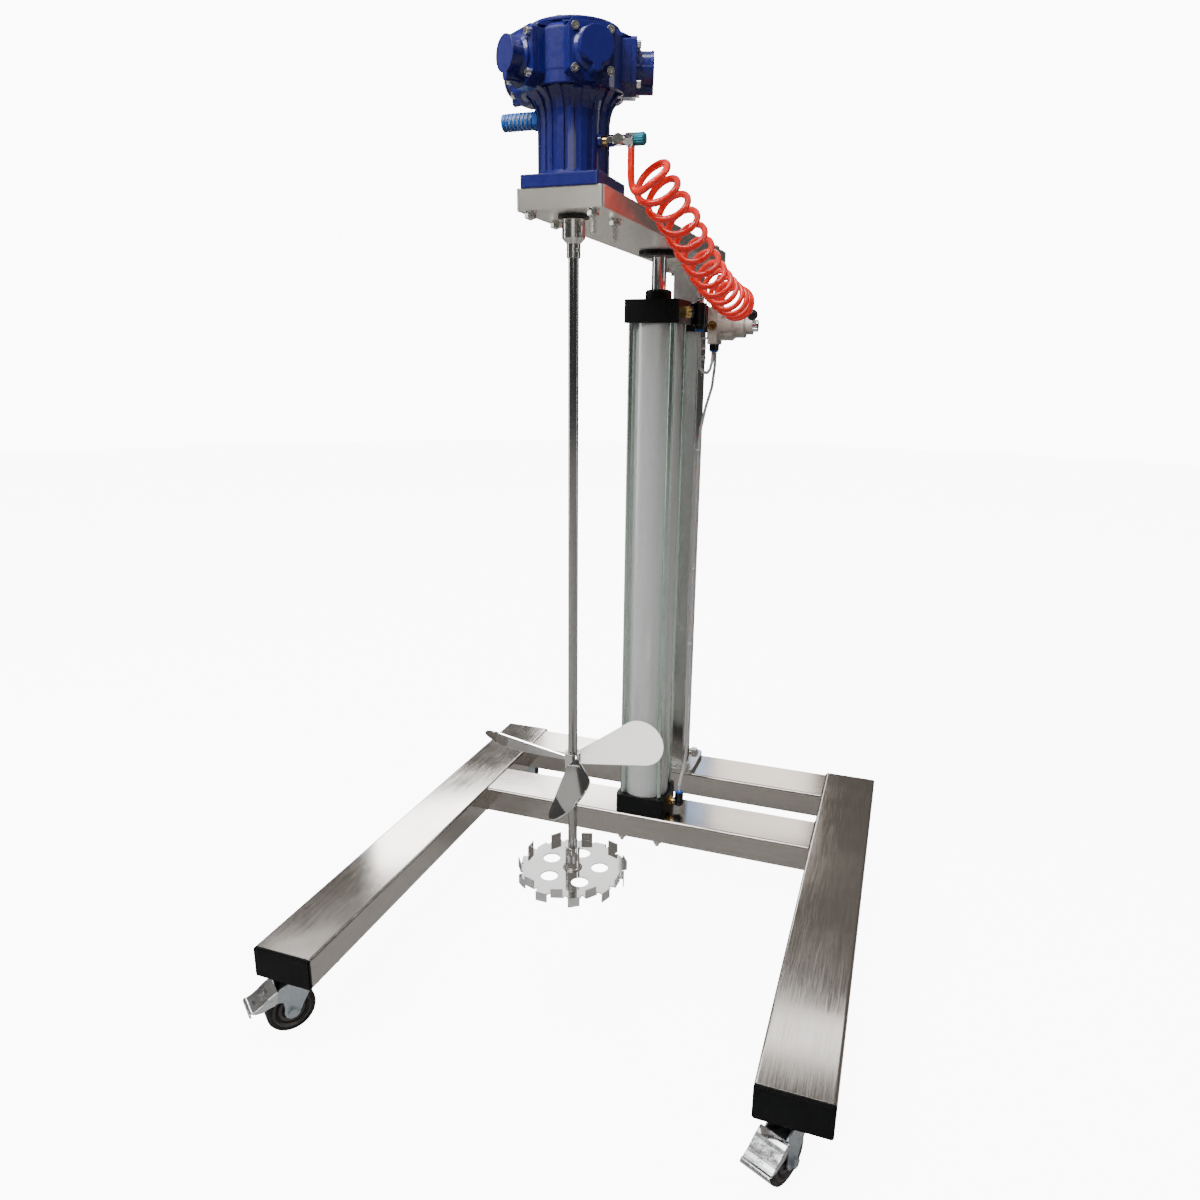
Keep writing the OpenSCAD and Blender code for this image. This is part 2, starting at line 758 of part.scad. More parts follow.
// Bent strip that carries the valve beside the post
module valve_bracket() {
  t = 3;
  x0 = post_w / 2;
  x1 = valve_x - t;
  z0 = collar_z - 60;
  z1 = collar_z - 10;
  z2 = valve_z + 30;
  color("silver")
    translate([0, guide_y, 0]) {
      rotate([90, 0, 0]) linear_extrude(34, center = true)
        polygon([
          [x0, z0], [x0 + t, z0], [x0 + t, z1 - t], [x1 + t, z1 - t],
          [x1 + t, z2], [x1, z2], [x1, z1], [x0, z1]
        ]);
      for (z = [z0 + 12, z0 + 32])
        translate([x0 + t, 0, z]) rotate([0, 90, 0]) cylinder(h = 3.5, d = 9);
    }
}

// Body of the hand valve: a square base, and a round housing that steps down to the lever's end
module valve_body() {
  bx = valve_base[0];
  color("antiquewhite")
    translate([valve_x, guide_y, valve_z])
      difference() {
        union() {
          rotate([90, 0, 90]) linear_extrude(bx) round_rect(valve_base[1], valve_base[2], 4);
          rotate([0, 90, 0]) {
            translate([0, 0, bx]) cylinder(h = valve_round_l - 6, d = valve_round_d);
            translate([0, 0, bx + valve_round_l - 6])
              cylinder(h = 6, d1 = valve_round_d, d2 = valve_round_d - 10);
            translate([0, 0, bx + valve_round_l]) cylinder(h = valve_step_l, d = valve_round_d - 10);
            translate([0, 0, bx + valve_round_l + valve_step_l]) cylinder(h = valve_end_l, d = valve_end_d);
          }
        }
        rotate([0, 90, 0]) translate([0, 0, bx + 4]) cylinder(h = 100, d = 12 + 2 * fit);
        translate([bx / 2, -valve_base[1] / 2 - 1, 0]) rotate([-90, 0, 0]) cylinder(h = 13, d = 15);
        for (y = [-1, 1])
          translate([bx / 2, y * valve_fit_y, -valve_base[2] / 2 - 1]) cylinder(h = 11, d = 10);
        translate([bx / 2, 0, valve_base[2] / 2 - 10]) cylinder(h = 11, d = 12);
        for (a = [0 : 60 : 300]) rotate([a, 0, 0])
          translate([bx + 6, 0, valve_round_d / 2 + 1]) rotate([0, 90, 0]) cylinder(h = valve_round_l, d = 7);
      }
}

// Black push-in elbows at the cylinder ports, and the straight fittings of the valve
module port_elbows() {
  color("dimgray") {
    translate([elbow_head_x, cyl_y, port_head_z])
      rotate([0, 90, 0]) cylinder(h = head_elbow_d / 2, d = 18);
    translate([elbow_head_x + head_elbow_d / 2, cyl_y, port_head_z]) {
      translate([0, 0, -22]) cylinder(h = 36, d = head_elbow_d - 2);
      translate([0, 0, -28]) cylinder(h = 6, d = 18);
    }
    translate([elbow_foot_x, cyl_y, port_foot_z])
      rotate([0, 90, 0]) cylinder(h = foot_elbow_d / 2, d = 16);
    translate([elbow_foot_x + foot_elbow_d / 2, cyl_y, port_foot_z]) {
      sphere(d = foot_elbow_d);
      cylinder(h = 20, d = foot_elbow_d - 2);
    }
    for (y = [-1, 1])
      translate([valve_fit_x, guide_y + y * valve_fit_y, valve_z - valve_base[2] / 2]) {
        cylinder(h = 9, d = 10 - 2 * ease);
        translate([0, 0, -11]) cylinder(h = 11, d = 14);
      }
    translate([valve_fit_x, guide_y, valve_z + valve_base[2] / 2]) {
      translate([0, 0, -9]) cylinder(h = 9, d = 12 - 2 * ease);
      hex(15, 6);
      translate([0, 0, 6]) cylinder(h = 16, d = 15);
    }
  }
}

// Brass: the nipples of the cylinder ports, and the bush of the shop air inlet
module brass_nipples() {
  color("goldenrod") {
    translate([cap_w / 2, cyl_y, port_head_z]) rotate([0, 90, 0]) {
      translate([0, 0, -10]) cylinder(h = 10, d = port_d - 2 * fit);
      rotate([0, 0, 30]) hex(18, 8);
      translate([0, 0, 8]) cylinder(h = elbow_head_x - cap_w / 2 - 8, d = 14);
    }
    translate([cap_w / 2, cyl_y, port_foot_z]) rotate([0, 90, 0]) {
      translate([0, 0, -10]) cylinder(h = 10, d = port_d - 2 * fit);
      hex(17, 6);
      translate([0, 0, 6]) cylinder(h = elbow_foot_x - cap_w / 2 - 6, d = 13);
    }
    translate([valve_fit_x, guide_y - valve_base[1] / 2, valve_z]) rotate([90, 0, 0])
      difference() {
        union() {
          translate([0, 0, -11]) cylinder(h = 11, d = 15 - 2 * fit);
          cylinder(h = 3, d = 17);
        }
        translate([0, 0, -9]) cylinder(h = 20, r = inlet_r);
      }
  }
}
inlet_r = 5.75;

// Blue release rings where the tubes push in
module release_rings() {
  color("royalblue") {
    translate([elbow_head_x + head_elbow_d / 2, cyl_y, port_head_z - 28 - ring_h]) push_ring(ring_d + 2);
    translate([elbow_foot_x + foot_elbow_d / 2, cyl_y, port_foot_z + 20]) push_ring(ring_d);
    for (y = [-1, 1])
      translate([valve_fit_x, guide_y + y * valve_fit_y, valve_z - valve_base[2] / 2 - 11 - ring_h])
        push_ring(ring_d - 1);
    translate([valve_fit_x, guide_y, valve_z + valve_base[2] / 2 + 22]) push_ring(ring_d);
  }
}
module push_ring(d) {
  cylinder(h = ring_h, d = d);
}

// Adjusting screw on top of the flow control elbow at the head
module flow_screw() {
  color("silver")
    translate([elbow_head_x + head_elbow_d / 2, cyl_y, port_head_z + 14]) {
      cylinder(h = 5, d = 12);
      translate([0, 0, 5]) hex(9, 4);
      translate([0, 0, 9]) cylinder(h = 6, d = 8);
    }
}

// Clear tubes between the valve and the two ends of the cylinder
module air_tubes() {
  head_tube = fitted(head_tube_route, head_port, [valve_fit_x, guide_y - valve_fit_y, valve_low_z]);
  color("aliceblue") {
    swept(head_tube, [for (p = head_tube) air_tube_d / 2], [1, 0, 0.02]);
    swept(foot_tube(), [for (p = foot_tube_route) air_tube_d / 2], [1, 0, 0.02]);
  }
}
function foot_tube() =
  fitted(foot_tube_route, [valve_fit_x, guide_y + valve_fit_y, valve_low_z], foot_port);

// Ties that hold the long tube to the side of the post, each with its head against the post
module cable_ties() {
  color("white")
    for (i = tie_steps) {
      p = foot_tube()[i];
      translate(p) difference() {
        cylinder(h = 4, d = air_tube_d + 3.2, center = true);
        cylinder(h = 6, d = air_tube_d + 0.8, center = true);
      }
      translate([post_w / 2, p[1] - 2.5, p[2] - 2]) cube([p[0] - post_w / 2 - air_tube_d / 2 - 0.6, 5, 4]);
    }
}

// Motor hose: a plain tube at both ends and one fat tube for the whole coil
module coil_hose() {
  color("red") swept(fitted(hose_route, throttle_port, valve_top_port), hose_radii, [1, 0, 0.02], 10);
}

// What the cylinder lifts

// Piston with two seals and a wear ring
module piston() {
  r = bore_d / 2 - fit;
  color("dimgray")
    translate([0, cyl_y, piston_z]) rotate_extrude()
      difference() {
        square([r, piston_h]);
        for (z = [6, piston_h - 10]) translate([r - 4, z]) square([5, 1.5]);
        translate([0, piston_h / 2]) square([rod_d / 2 - 3, piston_h]);
      }
}
module piston_rod() {
  color("whitesmoke")
    translate([0, cyl_y, 0]) {
      translate([0, 0, piston_z + piston_h]) cylinder(h = arm_z - piston_z - piston_h, d = rod_d);
      translate([0, 0, piston_z + piston_h / 2]) cylinder(h = piston_h / 2, d = rod_d - 6 - 2 * fit);
      translate([0, 0, arm_z]) cylinder(h = arm_t + 16, d = rod_d - 9);
      translate([0, 0, arm_top]) hex(24, 10);
    }
}
module rod_flange() {
  color("black")
    translate([0, cyl_y, arm_z - 6])
      difference() {
        union() {
          cylinder(h = 6, d = 70);
          translate([0, 0, -2]) cylinder(h = 2, d1 = 56, d2 = 66);
        }
        translate([0, 0, -3]) cylinder(h = 10, d = rod_d + 2 * fit);
      }
}

// Box arm welded from sheet, with bosses where bolts and the shaft pass through
module arm() {
  len = arm_back - arm_front;
  color("gainsboro")
    difference() {
      union() {
        difference() {
          translate([0, arm_front + len / 2, arm_z]) linear_extrude(arm_t) round_rect(arm_w, len, 5);
          translate([0, arm_front + len / 2, arm_z + arm_t / 2])
            cube([arm_w - 2 * arm_wall, len - 2 * arm_wall, arm_t - 2 * arm_wall], center = true);
        }
        translate([0, motor_y, arm_z + 1]) cylinder(h = arm_t - 2, d = 44);
        translate([0, cyl_y, arm_z + 1]) cylinder(h = arm_t - 2, d = 40);
      }
      translate([0, motor_y, arm_z - 1]) {
        cylinder(h = arm_t + 2, d = shaft_d + 8);
        at_corners(motor_bolt_pitch) cylinder(h = arm_t + 2, d = 8 + 2 * ease);
      }
      translate([0, cyl_y, arm_z - 1]) cylinder(h = arm_t + 2, d = rod_d - 9 + 2 * ease);
      translate([0, guide_y, arm_z - 1]) at_corners(flange_bolt_pitch, flange_bolt_across)
        cylinder(h = arm_t + 2, d = flange_bolt_d + 4 * ease);
    }
}

// Motor

module at_motor(z = 0) {
  translate([0, motor_y, z]) children();
}
module radially() {
  for (i = [0 : 4]) rotate([0, 0, first_radial + 72 * i]) children();
}

// Rib in a plane through the axis: it rises along the column and flares out under the head
module casting_rib(reach, t) {
  low = arm_top + motor_base_t - 1;
  rotate([90, 0, 0]) linear_extrude(t, center = true)
    difference() {
      polygon([
        [column_r - 8, low], [column_r + 0.6, low], [column_r + 0.6, neck_z - 8],
        [column_r + 2, neck_z], [column_r + 4.5, neck_z + 8], [column_r + 9, neck_z + 15],
        [column_r + 14, neck_z + 20], [reach - 3, neck_z + 24],
        [reach, neck_z + 33], [reach, radial_z], [column_r - 8, radial_z]
      ]);
    }
}
module motor_casting() {
  // base plate
  translate([0, 0, arm_top]) linear_extrude(motor_base_t) round_rect(motor_base_w, motor_base_w, 4);
  // column, neck and head, turned
  rotate_extrude()
    difference() {
      polygon([
        [0, arm_top + 1], [column_r + 2, arm_top + 1], [column_r + 2, motor_base_z + 2],
        [column_r - 1, motor_base_z + 5], [column_r - 1, neck_z - 14], [column_r, neck_z],
        [column_r + 3, neck_z + 10], [column_r + 9, neck_z + 19], [column_r + 16, neck_z + 25],
        [column_r + 19, neck_z + 30], [column_r + 21, neck_z + 36], [column_r + 21, radial_z + 26],
        [top_rim_r - 2, head_motor_z - 6], [top_rim_r - 2, head_motor_z - top_rim_t],
        [0, head_motor_z - top_rim_t]
      ]);
    }
  // boss of the speed control
  translate([column_r - 14, throttle_off, throttle_z]) rotate([0, 90, 0]) cylinder(h = 13, d = 19);
  // blocks that carry the radial cylinders
  radially() {
    translate([0, 0, radial_z]) rotate([90, 0, 90]) linear_extrude(flange_apothem) block_outline();
    // conical shoulder from the top cover down to a block
    intersection() {
      translate([0, 0, radial_z + block_h / 2 - 1])
        cylinder(h = head_motor_z - top_rim_t - radial_z - block_h / 2 + 0.5,
                 r1 = flange_apothem + 4, r2 = top_rim_r);
      translate([0, -block_w / 2, radial_z]) cube([flange_apothem, block_w, 60]);
    }
    // sloping underside of a block
    rotate([90, 0, 0]) linear_extrude(block_w - 22, center = true)
      polygon([
        [column_r - 10, neck_z - 8], [column_r - 6, neck_z - 4], [column_r - 1, neck_z + 4],
        [column_r + 4, neck_z + 12], [column_r + 10, neck_z + 18], [flange_apothem - 8, neck_z + 21],
        [flange_apothem - 8, radial_z], [column_r - 10, radial_z]
      ]);
    casting_rib(flange_apothem, 9);
    rotate([0, 0, 36]) casting_rib(column_r + 20, 8);
    // upright facets in the valley between two blocks
    rotate([0, 0, 36]) translate([0, 0, radial_z - block_h / 2 - 2])
      linear_extrude(block_h) polygon([
        [0, -10], [valley_r - 5, -24], [valley_r, -13], [valley_r + 1.5, -5], [valley_r + 1.5, 5],
        [valley_r, 13], [valley_r - 5, 24], [0, 10]
      ]);
    for (a = [-18, 18]) rotate([0, 0, a]) casting_rib(column_r + 10, 4);
  }
}
module motor_housing() {
  color("mediumblue")
    at_motor()
      difference() {
        motor_casting();
        translate([0, 0, arm_top - 1]) cylinder(h = 40, d = shaft_d + 4);
        translate([0, 0, motor_base_z + 8]) cylinder(h = radial_z - motor_base_z, r = sleeve_bore_r);
        translate([0, 0, radial_z - chamber_h / 2]) cylinder(h = 100, r = chamber_r);
        radially()
          translate([chamber_r - 12, 0, radial_z]) rotate([0, 90, 0])
            cylinder(h = 100, d = radial_bore_d);
        radially() translate([flange_apothem - 12, 0, radial_z]) rotate([0, 90, 0])
          at_corners(screw_pitch) cylinder(h = 20, d = screw_d + 2 * ease);
        translate([0, 0, arm_top - 1]) at_corners(motor_bolt_pitch)
          cylinder(h = motor_base_t + 2, d = 8 + 2 * ease);
        for (i = [0 : 4]) rotate([0, 0, first_radial + 36 + 72 * i])
          translate([top_rim_r - 8, 0, head_motor_z - top_rim_t - 12])
            cylinder(h = 20, d = screw_d + 2 * ease);
        // ports of the throttle and the silencer, each with a machined seat
        translate([column_r - 1, throttle_off, throttle_z]) rotate([0, 90, 0]) cylinder(h = 20, d = 19);
        translate([1 - column_r, 0, silencer_z]) rotate([0, -90, 0]) cylinder(h = 30, d = 26);
        translate([sleeve_bore_r - 8, throttle_off, throttle_z]) rotate([0, 90, 0])
          cylinder(h = 60, d = 10 + 2 * ease);
        translate([-sleeve_bore_r + 2, 0, silencer_z]) rotate([0, -90, 0])
          cylinder(h = 60, d = 16 + 2 * ease);
      }
}

// Outline of a radial cylinder's block and flange: square above, drawn to a blunt point below
module block_outline(inset = 0) {
  w = block_w / 2 - inset;
  h = block_h / 2 - inset;
  polygon([
    [-w + 4, h], [w - 4, h], [w, h - 4], [w, 8 - h], [9, -h - 3], [-9, -h - 3], [-w, 8 - h], [-w, h - 4]
  ]);
}

// Cover of a radial cylinder: a flange, a stepped cap and a tongue below it
module cylinder_covers() {
  spigot = 4;
  flange_face = flange_apothem + cover_t;
  color("mediumblue")
    at_motor()
      radially()
        difference() {
          union() {
            translate([flange_apothem, 0, radial_z]) rotate([90, 0, 90])
              linear_extrude(cover_t) block_outline();
            translate([flange_apothem - spigot, 0, radial_z]) rotate([0, 90, 0])
              cylinder(h = spigot + 1, d = radial_bore_d - 2 * fit);
            translate([flange_face - 0.5, 0, radial_z]) rotate([0, 90, 0]) {
              cylinder(h = 3.5, d = cover_d + 6);
              translate([0, 0, 3.5]) cylinder(h = 3, d1 = cover_d + 6, d2 = cover_d - 1);
              cylinder(h = cover_reach - flange_face - 2.5, d = cover_d - 1);
              translate([0, 0, cover_reach - flange_face - 2.5]) cylinder(h = 3, d = cover_d);
            }
            translate([flange_face - 0.5, -5, radial_z - cover_d / 2 - 3])
              cube([cover_reach - flange_face + 0.5, 10, 12]);
            translate([flange_face - 0.5, 0, radial_z - cover_d / 2 - 3]) rotate([0, 90, 0])
              cylinder(h = cover_reach - flange_face + 0.5, d = 10);
          }
          translate([flange_apothem - 1, 0, radial_z]) rotate([0, 90, 0])
            at_corners(screw_pitch) cylinder(h = cover_t + 2, d = screw_d + 2 * ease);
        }
}

// Socket head screws of the covers and of the top cover
module socket_screw(grip) {
  difference() {
    union() {
      cylinder(h = 5, d = screw_head_d);
      translate([0, 0, -grip]) cylinder(h = grip + 1, d = screw_d);
    }
    translate([0, 0, 2]) hex(4, 4);
  }
}
module cover_screws() {
  color("silver")
    at_motor() {
      radially() translate([flange_apothem + cover_t, 0, radial_z]) rotate([0, 90, 0])
        at_corners(screw_pitch) socket_screw(cover_t + 9);
      for (i = [0 : 4]) rotate([0, 0, first_radial + 36 + 72 * i])
        translate([top_rim_r - 8, 0, head_motor_z - 3.5]) socket_screw(top_rim_t + 6.5);
    }
}
module motor_top_cover() {
  color("mediumblue")
    at_motor()
      difference() {
        union() {
          translate([0, 0, head_motor_z - top_rim_t]) cylinder(h = top_rim_t - 1, r = top_rim_r);
          translate([0, 0, head_motor_z - 1]) cylinder(h = 1, r1 = top_rim_r, r2 = top_rim_r - 1);
          translate([0, 0, head_motor_z - top_rim_t - 8]) cylinder(h = 9, r = chamber_r - fit);
        }
        translate([0, 0, head_motor_z - top_rim_t - 9]) cylinder(h = 8, r = crank_r + 10 + fit);
        for (i = [0 : 4]) rotate([0, 0, first_radial + 36 + 72 * i])
          translate([top_rim_r - 8, 0, head_motor_z - top_rim_t - 1]) {
            cylinder(h = 20, d = screw_d + 2 * ease);
            translate([0, 0, top_rim_t - 2.5]) cylinder(h = 20, d = screw_head_d + 1);
          }
      }
}

// Four bolts through the base plate and the arm: the right pair is the longer one
module motor_mount_bolts() {
  color("silver")
    at_motor()
      for (x = [-1, 1], y = [-1, 1])
        translate([x * motor_bolt_pitch / 2, y * motor_bolt_pitch / 2, 0]) {
          tail = x > 0 ? 28 : 9;
          translate([0, 0, motor_base_z]) hex(13, 5.5);
          translate([0, 0, arm_z - tail]) cylinder(h = motor_base_z - arm_z + tail, d = 8);
          translate([0, 0, arm_z - 2]) cylinder(h = 2, d = 17);
          translate([0, 0, arm_z - 8.5]) hex(13, 6.5);
        }
}
module shaft_seal() {
  color("black")
    at_motor(arm_z - 4)
      difference() {
        cylinder(h = 4, d = 40);
        translate([0, 0, -1]) cylinder(h = 6, d = shaft_d + 1);
      }
}

// Ball bearings of the crankshaft, in the column and in the top cover
bearing_h = 14;
upper_bearing_h = 7;
module motor_bearings() {
  color("lightgray")
    at_motor() {
      translate([0, 0, motor_base_z + 8])
        bearing_ring(sleeve_bore_r, crank_r, bearing_h);
      translate([0, 0, radial_z - chamber_h / 2 - bearing_h])
        bearing_ring(sleeve_bore_r, crank_r, bearing_h);
      translate([0, 0, head_motor_z - top_rim_t - 8])
        bearing_ring(crank_r + 10, crank_r - 4, upper_bearing_h);
    }
}
module bearing_ring(outer, inner, h) {
  rotate_extrude()
    difference() {
      translate([inner + fit, 0]) square([outer - inner - 2 * fit, h]);
      for (z = [-1, h - 1]) translate([inner + 3, z]) square([outer - inner - 6, 2]);
    }
}
module distributor_sleeve() {
  low = motor_base_z + 8 + bearing_h;
  high = radial_z - chamber_h / 2 - bearing_h;
  color("peru")
    at_motor()
      difference() {
        translate([0, 0, low]) cylinder(h = high - low, r = sleeve_bore_r - fit);
        translate([0, 0, low - 1]) cylinder(h = high - low + 2, r = crank_r + 4 + fit);
        translate([0, throttle_off, throttle_z]) rotate([0, 90, 0]) cylinder(h = 60, d = 8);
        translate([0, 0, silencer_z]) rotate([0, -90, 0]) cylinder(h = 60, d = 8);
      }
}
module motor_pistons() {
  color("silver")
    at_motor()
      radially()
        translate([piston_in, 0, radial_z]) rotate([0, 90, 0])
          difference() {
            cylinder(h = piston_skirt, d = radial_bore_d - 2 * fit);
            translate([0, 0, 6]) cylinder(h = piston_skirt, d = radial_bore_d - 8);
          }
}

// Ribbed plastic silencer on the exhaust port
module silencer() {
  root = column_r - 2;
  ribs = 7;
  pitch = 5.4;
  color("dodgerblue")
    at_motor(silencer_z) rotate([0, -90, 0]) {
      translate([0, 0, sleeve_bore_r + 4]) cylinder(h = root - sleeve_bore_r, d = 16);
      translate([0, 0, root + 3]) hex(21, 7);
      translate([0, 0, root + 9]) cylinder(h = ribs * pitch + 2, d = 15);
      for (i = [0 : ribs - 1])
        translate([0, 0, root + 11 + i * pitch]) cylinder(h = 2.6, d = 21);
      translate([0, 0, root + 10 + ribs * pitch]) cylinder(h = 5, d = 20.5);
    }
}

// Speed control on the inlet: nipple, hexagon, cross bore with its plug, second hexagon and hose nut
module throttle_body() {
  color("silver")
    at_motor(throttle_z) translate([0, throttle_off, 0]) {
      rotate([0, 90, 0]) {
        translate([0, 0, sleeve_bore_r + 4]) cylinder(h = throttle_x + 1 - sleeve_bore_r - 4, d = 10);
        translate([0, 0, throttle_x + 1]) cylinder(h = 5, d = 13);
        translate([0, 0, throttle_x + 6]) hex(12, 8);
        translate([0, 0, throttle_x + 14]) cylinder(h = 16, d = 12);
        difference() {
          translate([0, 0, throttle_x + 29.5]) rotate([0, 0, 30]) hex(14, 10);
          translate([0, 0, throttle_x + 35]) cylinder(h = 6, d = 6 + 2 * fit);
        }
      }
      translate([throttle_x + 21.5, 0, 0]) rotate([90, 0, 0]) cylinder(h = 9, d = 13);
      translate([hose_x, 0, -hose_drop]) cylinder(h = hose_drop - 4, d = 9);
    }
}
module throttle_knob() {
  color("darkcyan")
    at_motor(throttle_z) translate([0, throttle_off, 0]) rotate([0, 90, 0]) {
      translate([0, 0, knob_x - 4.5]) cylinder(h = 6, d = 6);
      difference() {
        union() {
          translate([0, 0, knob_x]) cylinder(h = 11, d = 15);
          translate([0, 0, knob_x + 11]) cylinder(h = 2, d1 = 15, d2 = 12);
        }
        for (a = [0 : 20 : 340]) rotate([0, 0, a])
          translate([8, 0, knob_x - 1]) cylinder(h = 12, d = 1.8);
      }
    }
}

// Spindle

// Crankshaft: output end, journals, distributor land, web, crank pin with its ring, upper journal
module crankshaft() {
  low = motor_base_z + 8;
  web_z = radial_z - chamber_h / 2 + 2;
  ring_z = radial_z - 12;
  color("slategray")
    at_motor() {
      translate([0, 0, out_shaft_end]) cylinder(h = low - out_shaft_end + 1, d = shaft_d);
      translate([0, 0, low + gap]) cylinder(h = web_z - low, r = crank_r - fit);
      translate([0, 0, low + bearing_h + 1])
        cylinder(h = radial_z - chamber_h / 2 - 2 * bearing_h - 2 - low, r = crank_r + 4);
      translate([0, 0, web_z]) cylinder(h = ring_z - web_z - 1, r = 28);
      translate([crank_throw, 0, ring_z - 1]) cylinder(h = 26, r = 11);
      translate([0, 0, ring_z + 25])
        cylinder(h = head_motor_z - top_rim_t - 2 - ring_z - 25, r = crank_r - 4 - fit);
      translate([0, 0, ring_z + 25]) cylinder(h = 4, r = 16);
      translate([crank_throw, 0, ring_z])
        difference() {
          cylinder(h = 24, r = eccentric_r);
          translate([0, 0, -1]) cylinder(h = 26, r = 11 + fit);
        }
    }
}

// Rigid coupling with a neck, and its three set screws
module coupling() {
  color("silver")
    at_motor() {
      difference() {
        union() {
          translate([0, 0, coupling_step + 3]) cylinder(h = coupling_top - coupling_step - 3, d = coupling_d);
          translate([0, 0, coupling_step - 3]) cylinder(h = 6, d1 = coupling_neck_d, d2 = coupling_d);
          translate([0, 0, coupling_end]) cylinder(h = coupling_step - coupling_end, d = coupling_neck_d);
        }
        translate([0, 0, coupling_end - 1]) cylinder(h = 60, d = shaft_d + 2 * fit);
        for (z = [coupling_top - 6, coupling_top - 20])
          translate([0, 0, z]) rotate([90, 0, 60]) cylinder(h = 20, d = 6 + 2 * fit);
        translate([0, 0, coupling_end + 9]) rotate([90, 0, 60]) cylinder(h = 20, d = 6 + 2 * fit);
      }
      for (z = [coupling_top - 6, coupling_top - 20])
        translate([0, 0, z]) rotate([90, 0, 60]) translate([0, 0, shaft_d / 2 + fit]) set_screw(7);
      translate([0, 0, coupling_end + 9]) rotate([90, 0, 60])
        translate([0, 0, shaft_d / 2 + fit]) set_screw(3);
    }
}
module set_screw(h) {
  difference() {
    cylinder(h = h, d = 6);
    translate([0, 0, h - 2]) hex(3, 3);
  }
}
module mixer_shaft() {
  low = disc_z - 1;
  color("silver")
    at_motor(low) cylinder(h = out_shaft_end - 0.2 - low, d = shaft_d);
}

// Blade: a teardrop of sheet, a straight-sided wedge that ends in a circle, turned about its own length
module blade() {
  root = 9;
  start = 6;
  a = asin((blade_end_r - root) / (blade_reach - start));
  rotate([blade_pitch, 0, 0])
    linear_extrude(sheet_t, center = true) {
      polygon([
        [start, -root], [blade_reach - blade_end_r * sin(a), -blade_end_r * cos(a)],
        [blade_reach - blade_end_r * sin(a), blade_end_r * cos(a)], [start, root]
      ]);
      translate([blade_reach, 0]) circle(blade_end_r, $fn = 72);
    }
}
module propeller() {
  color("silver")
    at_motor(propeller_z)
      difference() {
        union() {
          translate([0, 0, -hub_h / 2]) cylinder(h = hub_h, d = hub_d);
          for (i = [0 : 2]) rotate([0, 0, first_blade + 120 * i]) blade();
        }
        translate([0, 0, -hub_h]) cylinder(h = 2 * hub_h, d = shaft_d + 2 * fit);
      }
}

// Disc cut from sheet: its teeth are folded up and down in turn, each a little askew
module tooth(up) {
  lean = 0.5 * tooth_w * sin(tooth_slant);
  translate([disc_r, 0, 0]) rotate([0, 0, tooth_slant]) {
    translate([-6, -tooth_w / 2, -sheet_t / 2]) cube([6 + sheet_t, tooth_w, sheet_t]);
    translate([0, -tooth_w / 2, up > 0 ? -sheet_t / 2 : -tooth_h])
      cube([sheet_t, tooth_w - lean, tooth_h + sheet_t / 2]);
  }
}
module dispersing_disc() {
  color("silver")
    at_motor(disc_z)
      difference() {
        union() {
          translate([0, 0, -sheet_t / 2]) cylinder(h = sheet_t, r = disc_r - 3, $fn = 96);
          for (i = [0 : teeth - 1]) rotate([0, 0, 360 * i / teeth + first_tooth]) tooth(i % 2 * 2 - 1);
          translate([0, 0, 0]) cylinder(h = disc_hub_h, d = disc_hub_d);
          translate([0, 0, sheet_t / 2]) cylinder(h = 2, d1 = disc_hub_d + 5, d2 = disc_hub_d);
        }
        translate([0, 0, -5]) cylinder(h = disc_hub_h + 10, d = shaft_d + 2 * fit);
        for (i = [0 : 4]) rotate([0, 0, 72 * i + first_hole])
          translate([disc_hole_ring, 0, -5]) cylinder(h = 10, d = disc_hole_d);
      }
}

// Lever of the hand valve, and the ball on its end
module lever_frame() {
  translate([lever_x, guide_y, valve_z]) rotate([-lever_tilt, 0, 0]) children();
}
module valve_lever() {
  depth = valve_end_l + valve_step_l + 10;
  color("silver")
    lever_frame() {
      rotate([0, 90, 0]) {
        translate([0, 0, -depth]) cylinder(h = depth + gap, d = 12);
        translate([0, 0, gap]) cylinder(h = 9, d = 22);
      }
      translate([4.5 + gap, 0, 0]) rotate([90, 0, 0]) cylinder(h = lever_l - lever_ball_d / 2 + 4, d = 6);
    }
}
module lever_ball() {
  color("black")
    lever_frame()
      translate([4.5 + gap, -lever_l, 0])
        difference() {
          sphere(d = lever_ball_d, $fn = 64);
          rotate([-90, 0, 0]) translate([0, 0, 5]) cylinder(h = 10, d = 6 + 2 * fit);
        }
}

left_side_rail();
right_side_rail();
front_cross_rail();
rear_cross_rail();
rail_end_caps();
caster_plates();
cylinder_foot_cap();
cylinder_head_cap();
cylinder_barrel();
cylinder_tie_rods();
rod_gland();
stand_bolts();
guide_post();
guide_foot_flange();
guide_collar();
valve_bracket();
valve_body();
port_elbows();
brass_nipples();
release_rings();
flow_screw();
air_tubes();
cable_ties();
coil_hose();
piston();
piston_rod();
rod_flange();
arm();
guide_bar();
guide_bar_flange();
guide_shoe();
motor_housing();
cylinder_covers();
cover_screws();
motor_top_cover();
motor_mount_bolts();
shaft_seal();
motor_bearings();
motor_pistons();
distributor_sleeve();
silencer();
throttle_body();
crankshaft();
coupling();
mixer_shaft();
propeller();
dispersing_disc();
throttle_knob();
valve_lever();
lever_ball();
front_left_fork();
front_right_fork();
rear_left_fork();
rear_right_fork();
front_left_wheel();
front_right_wheel();
rear_left_wheel();
rear_right_wheel();
front_left_pedal();
front_right_pedal();
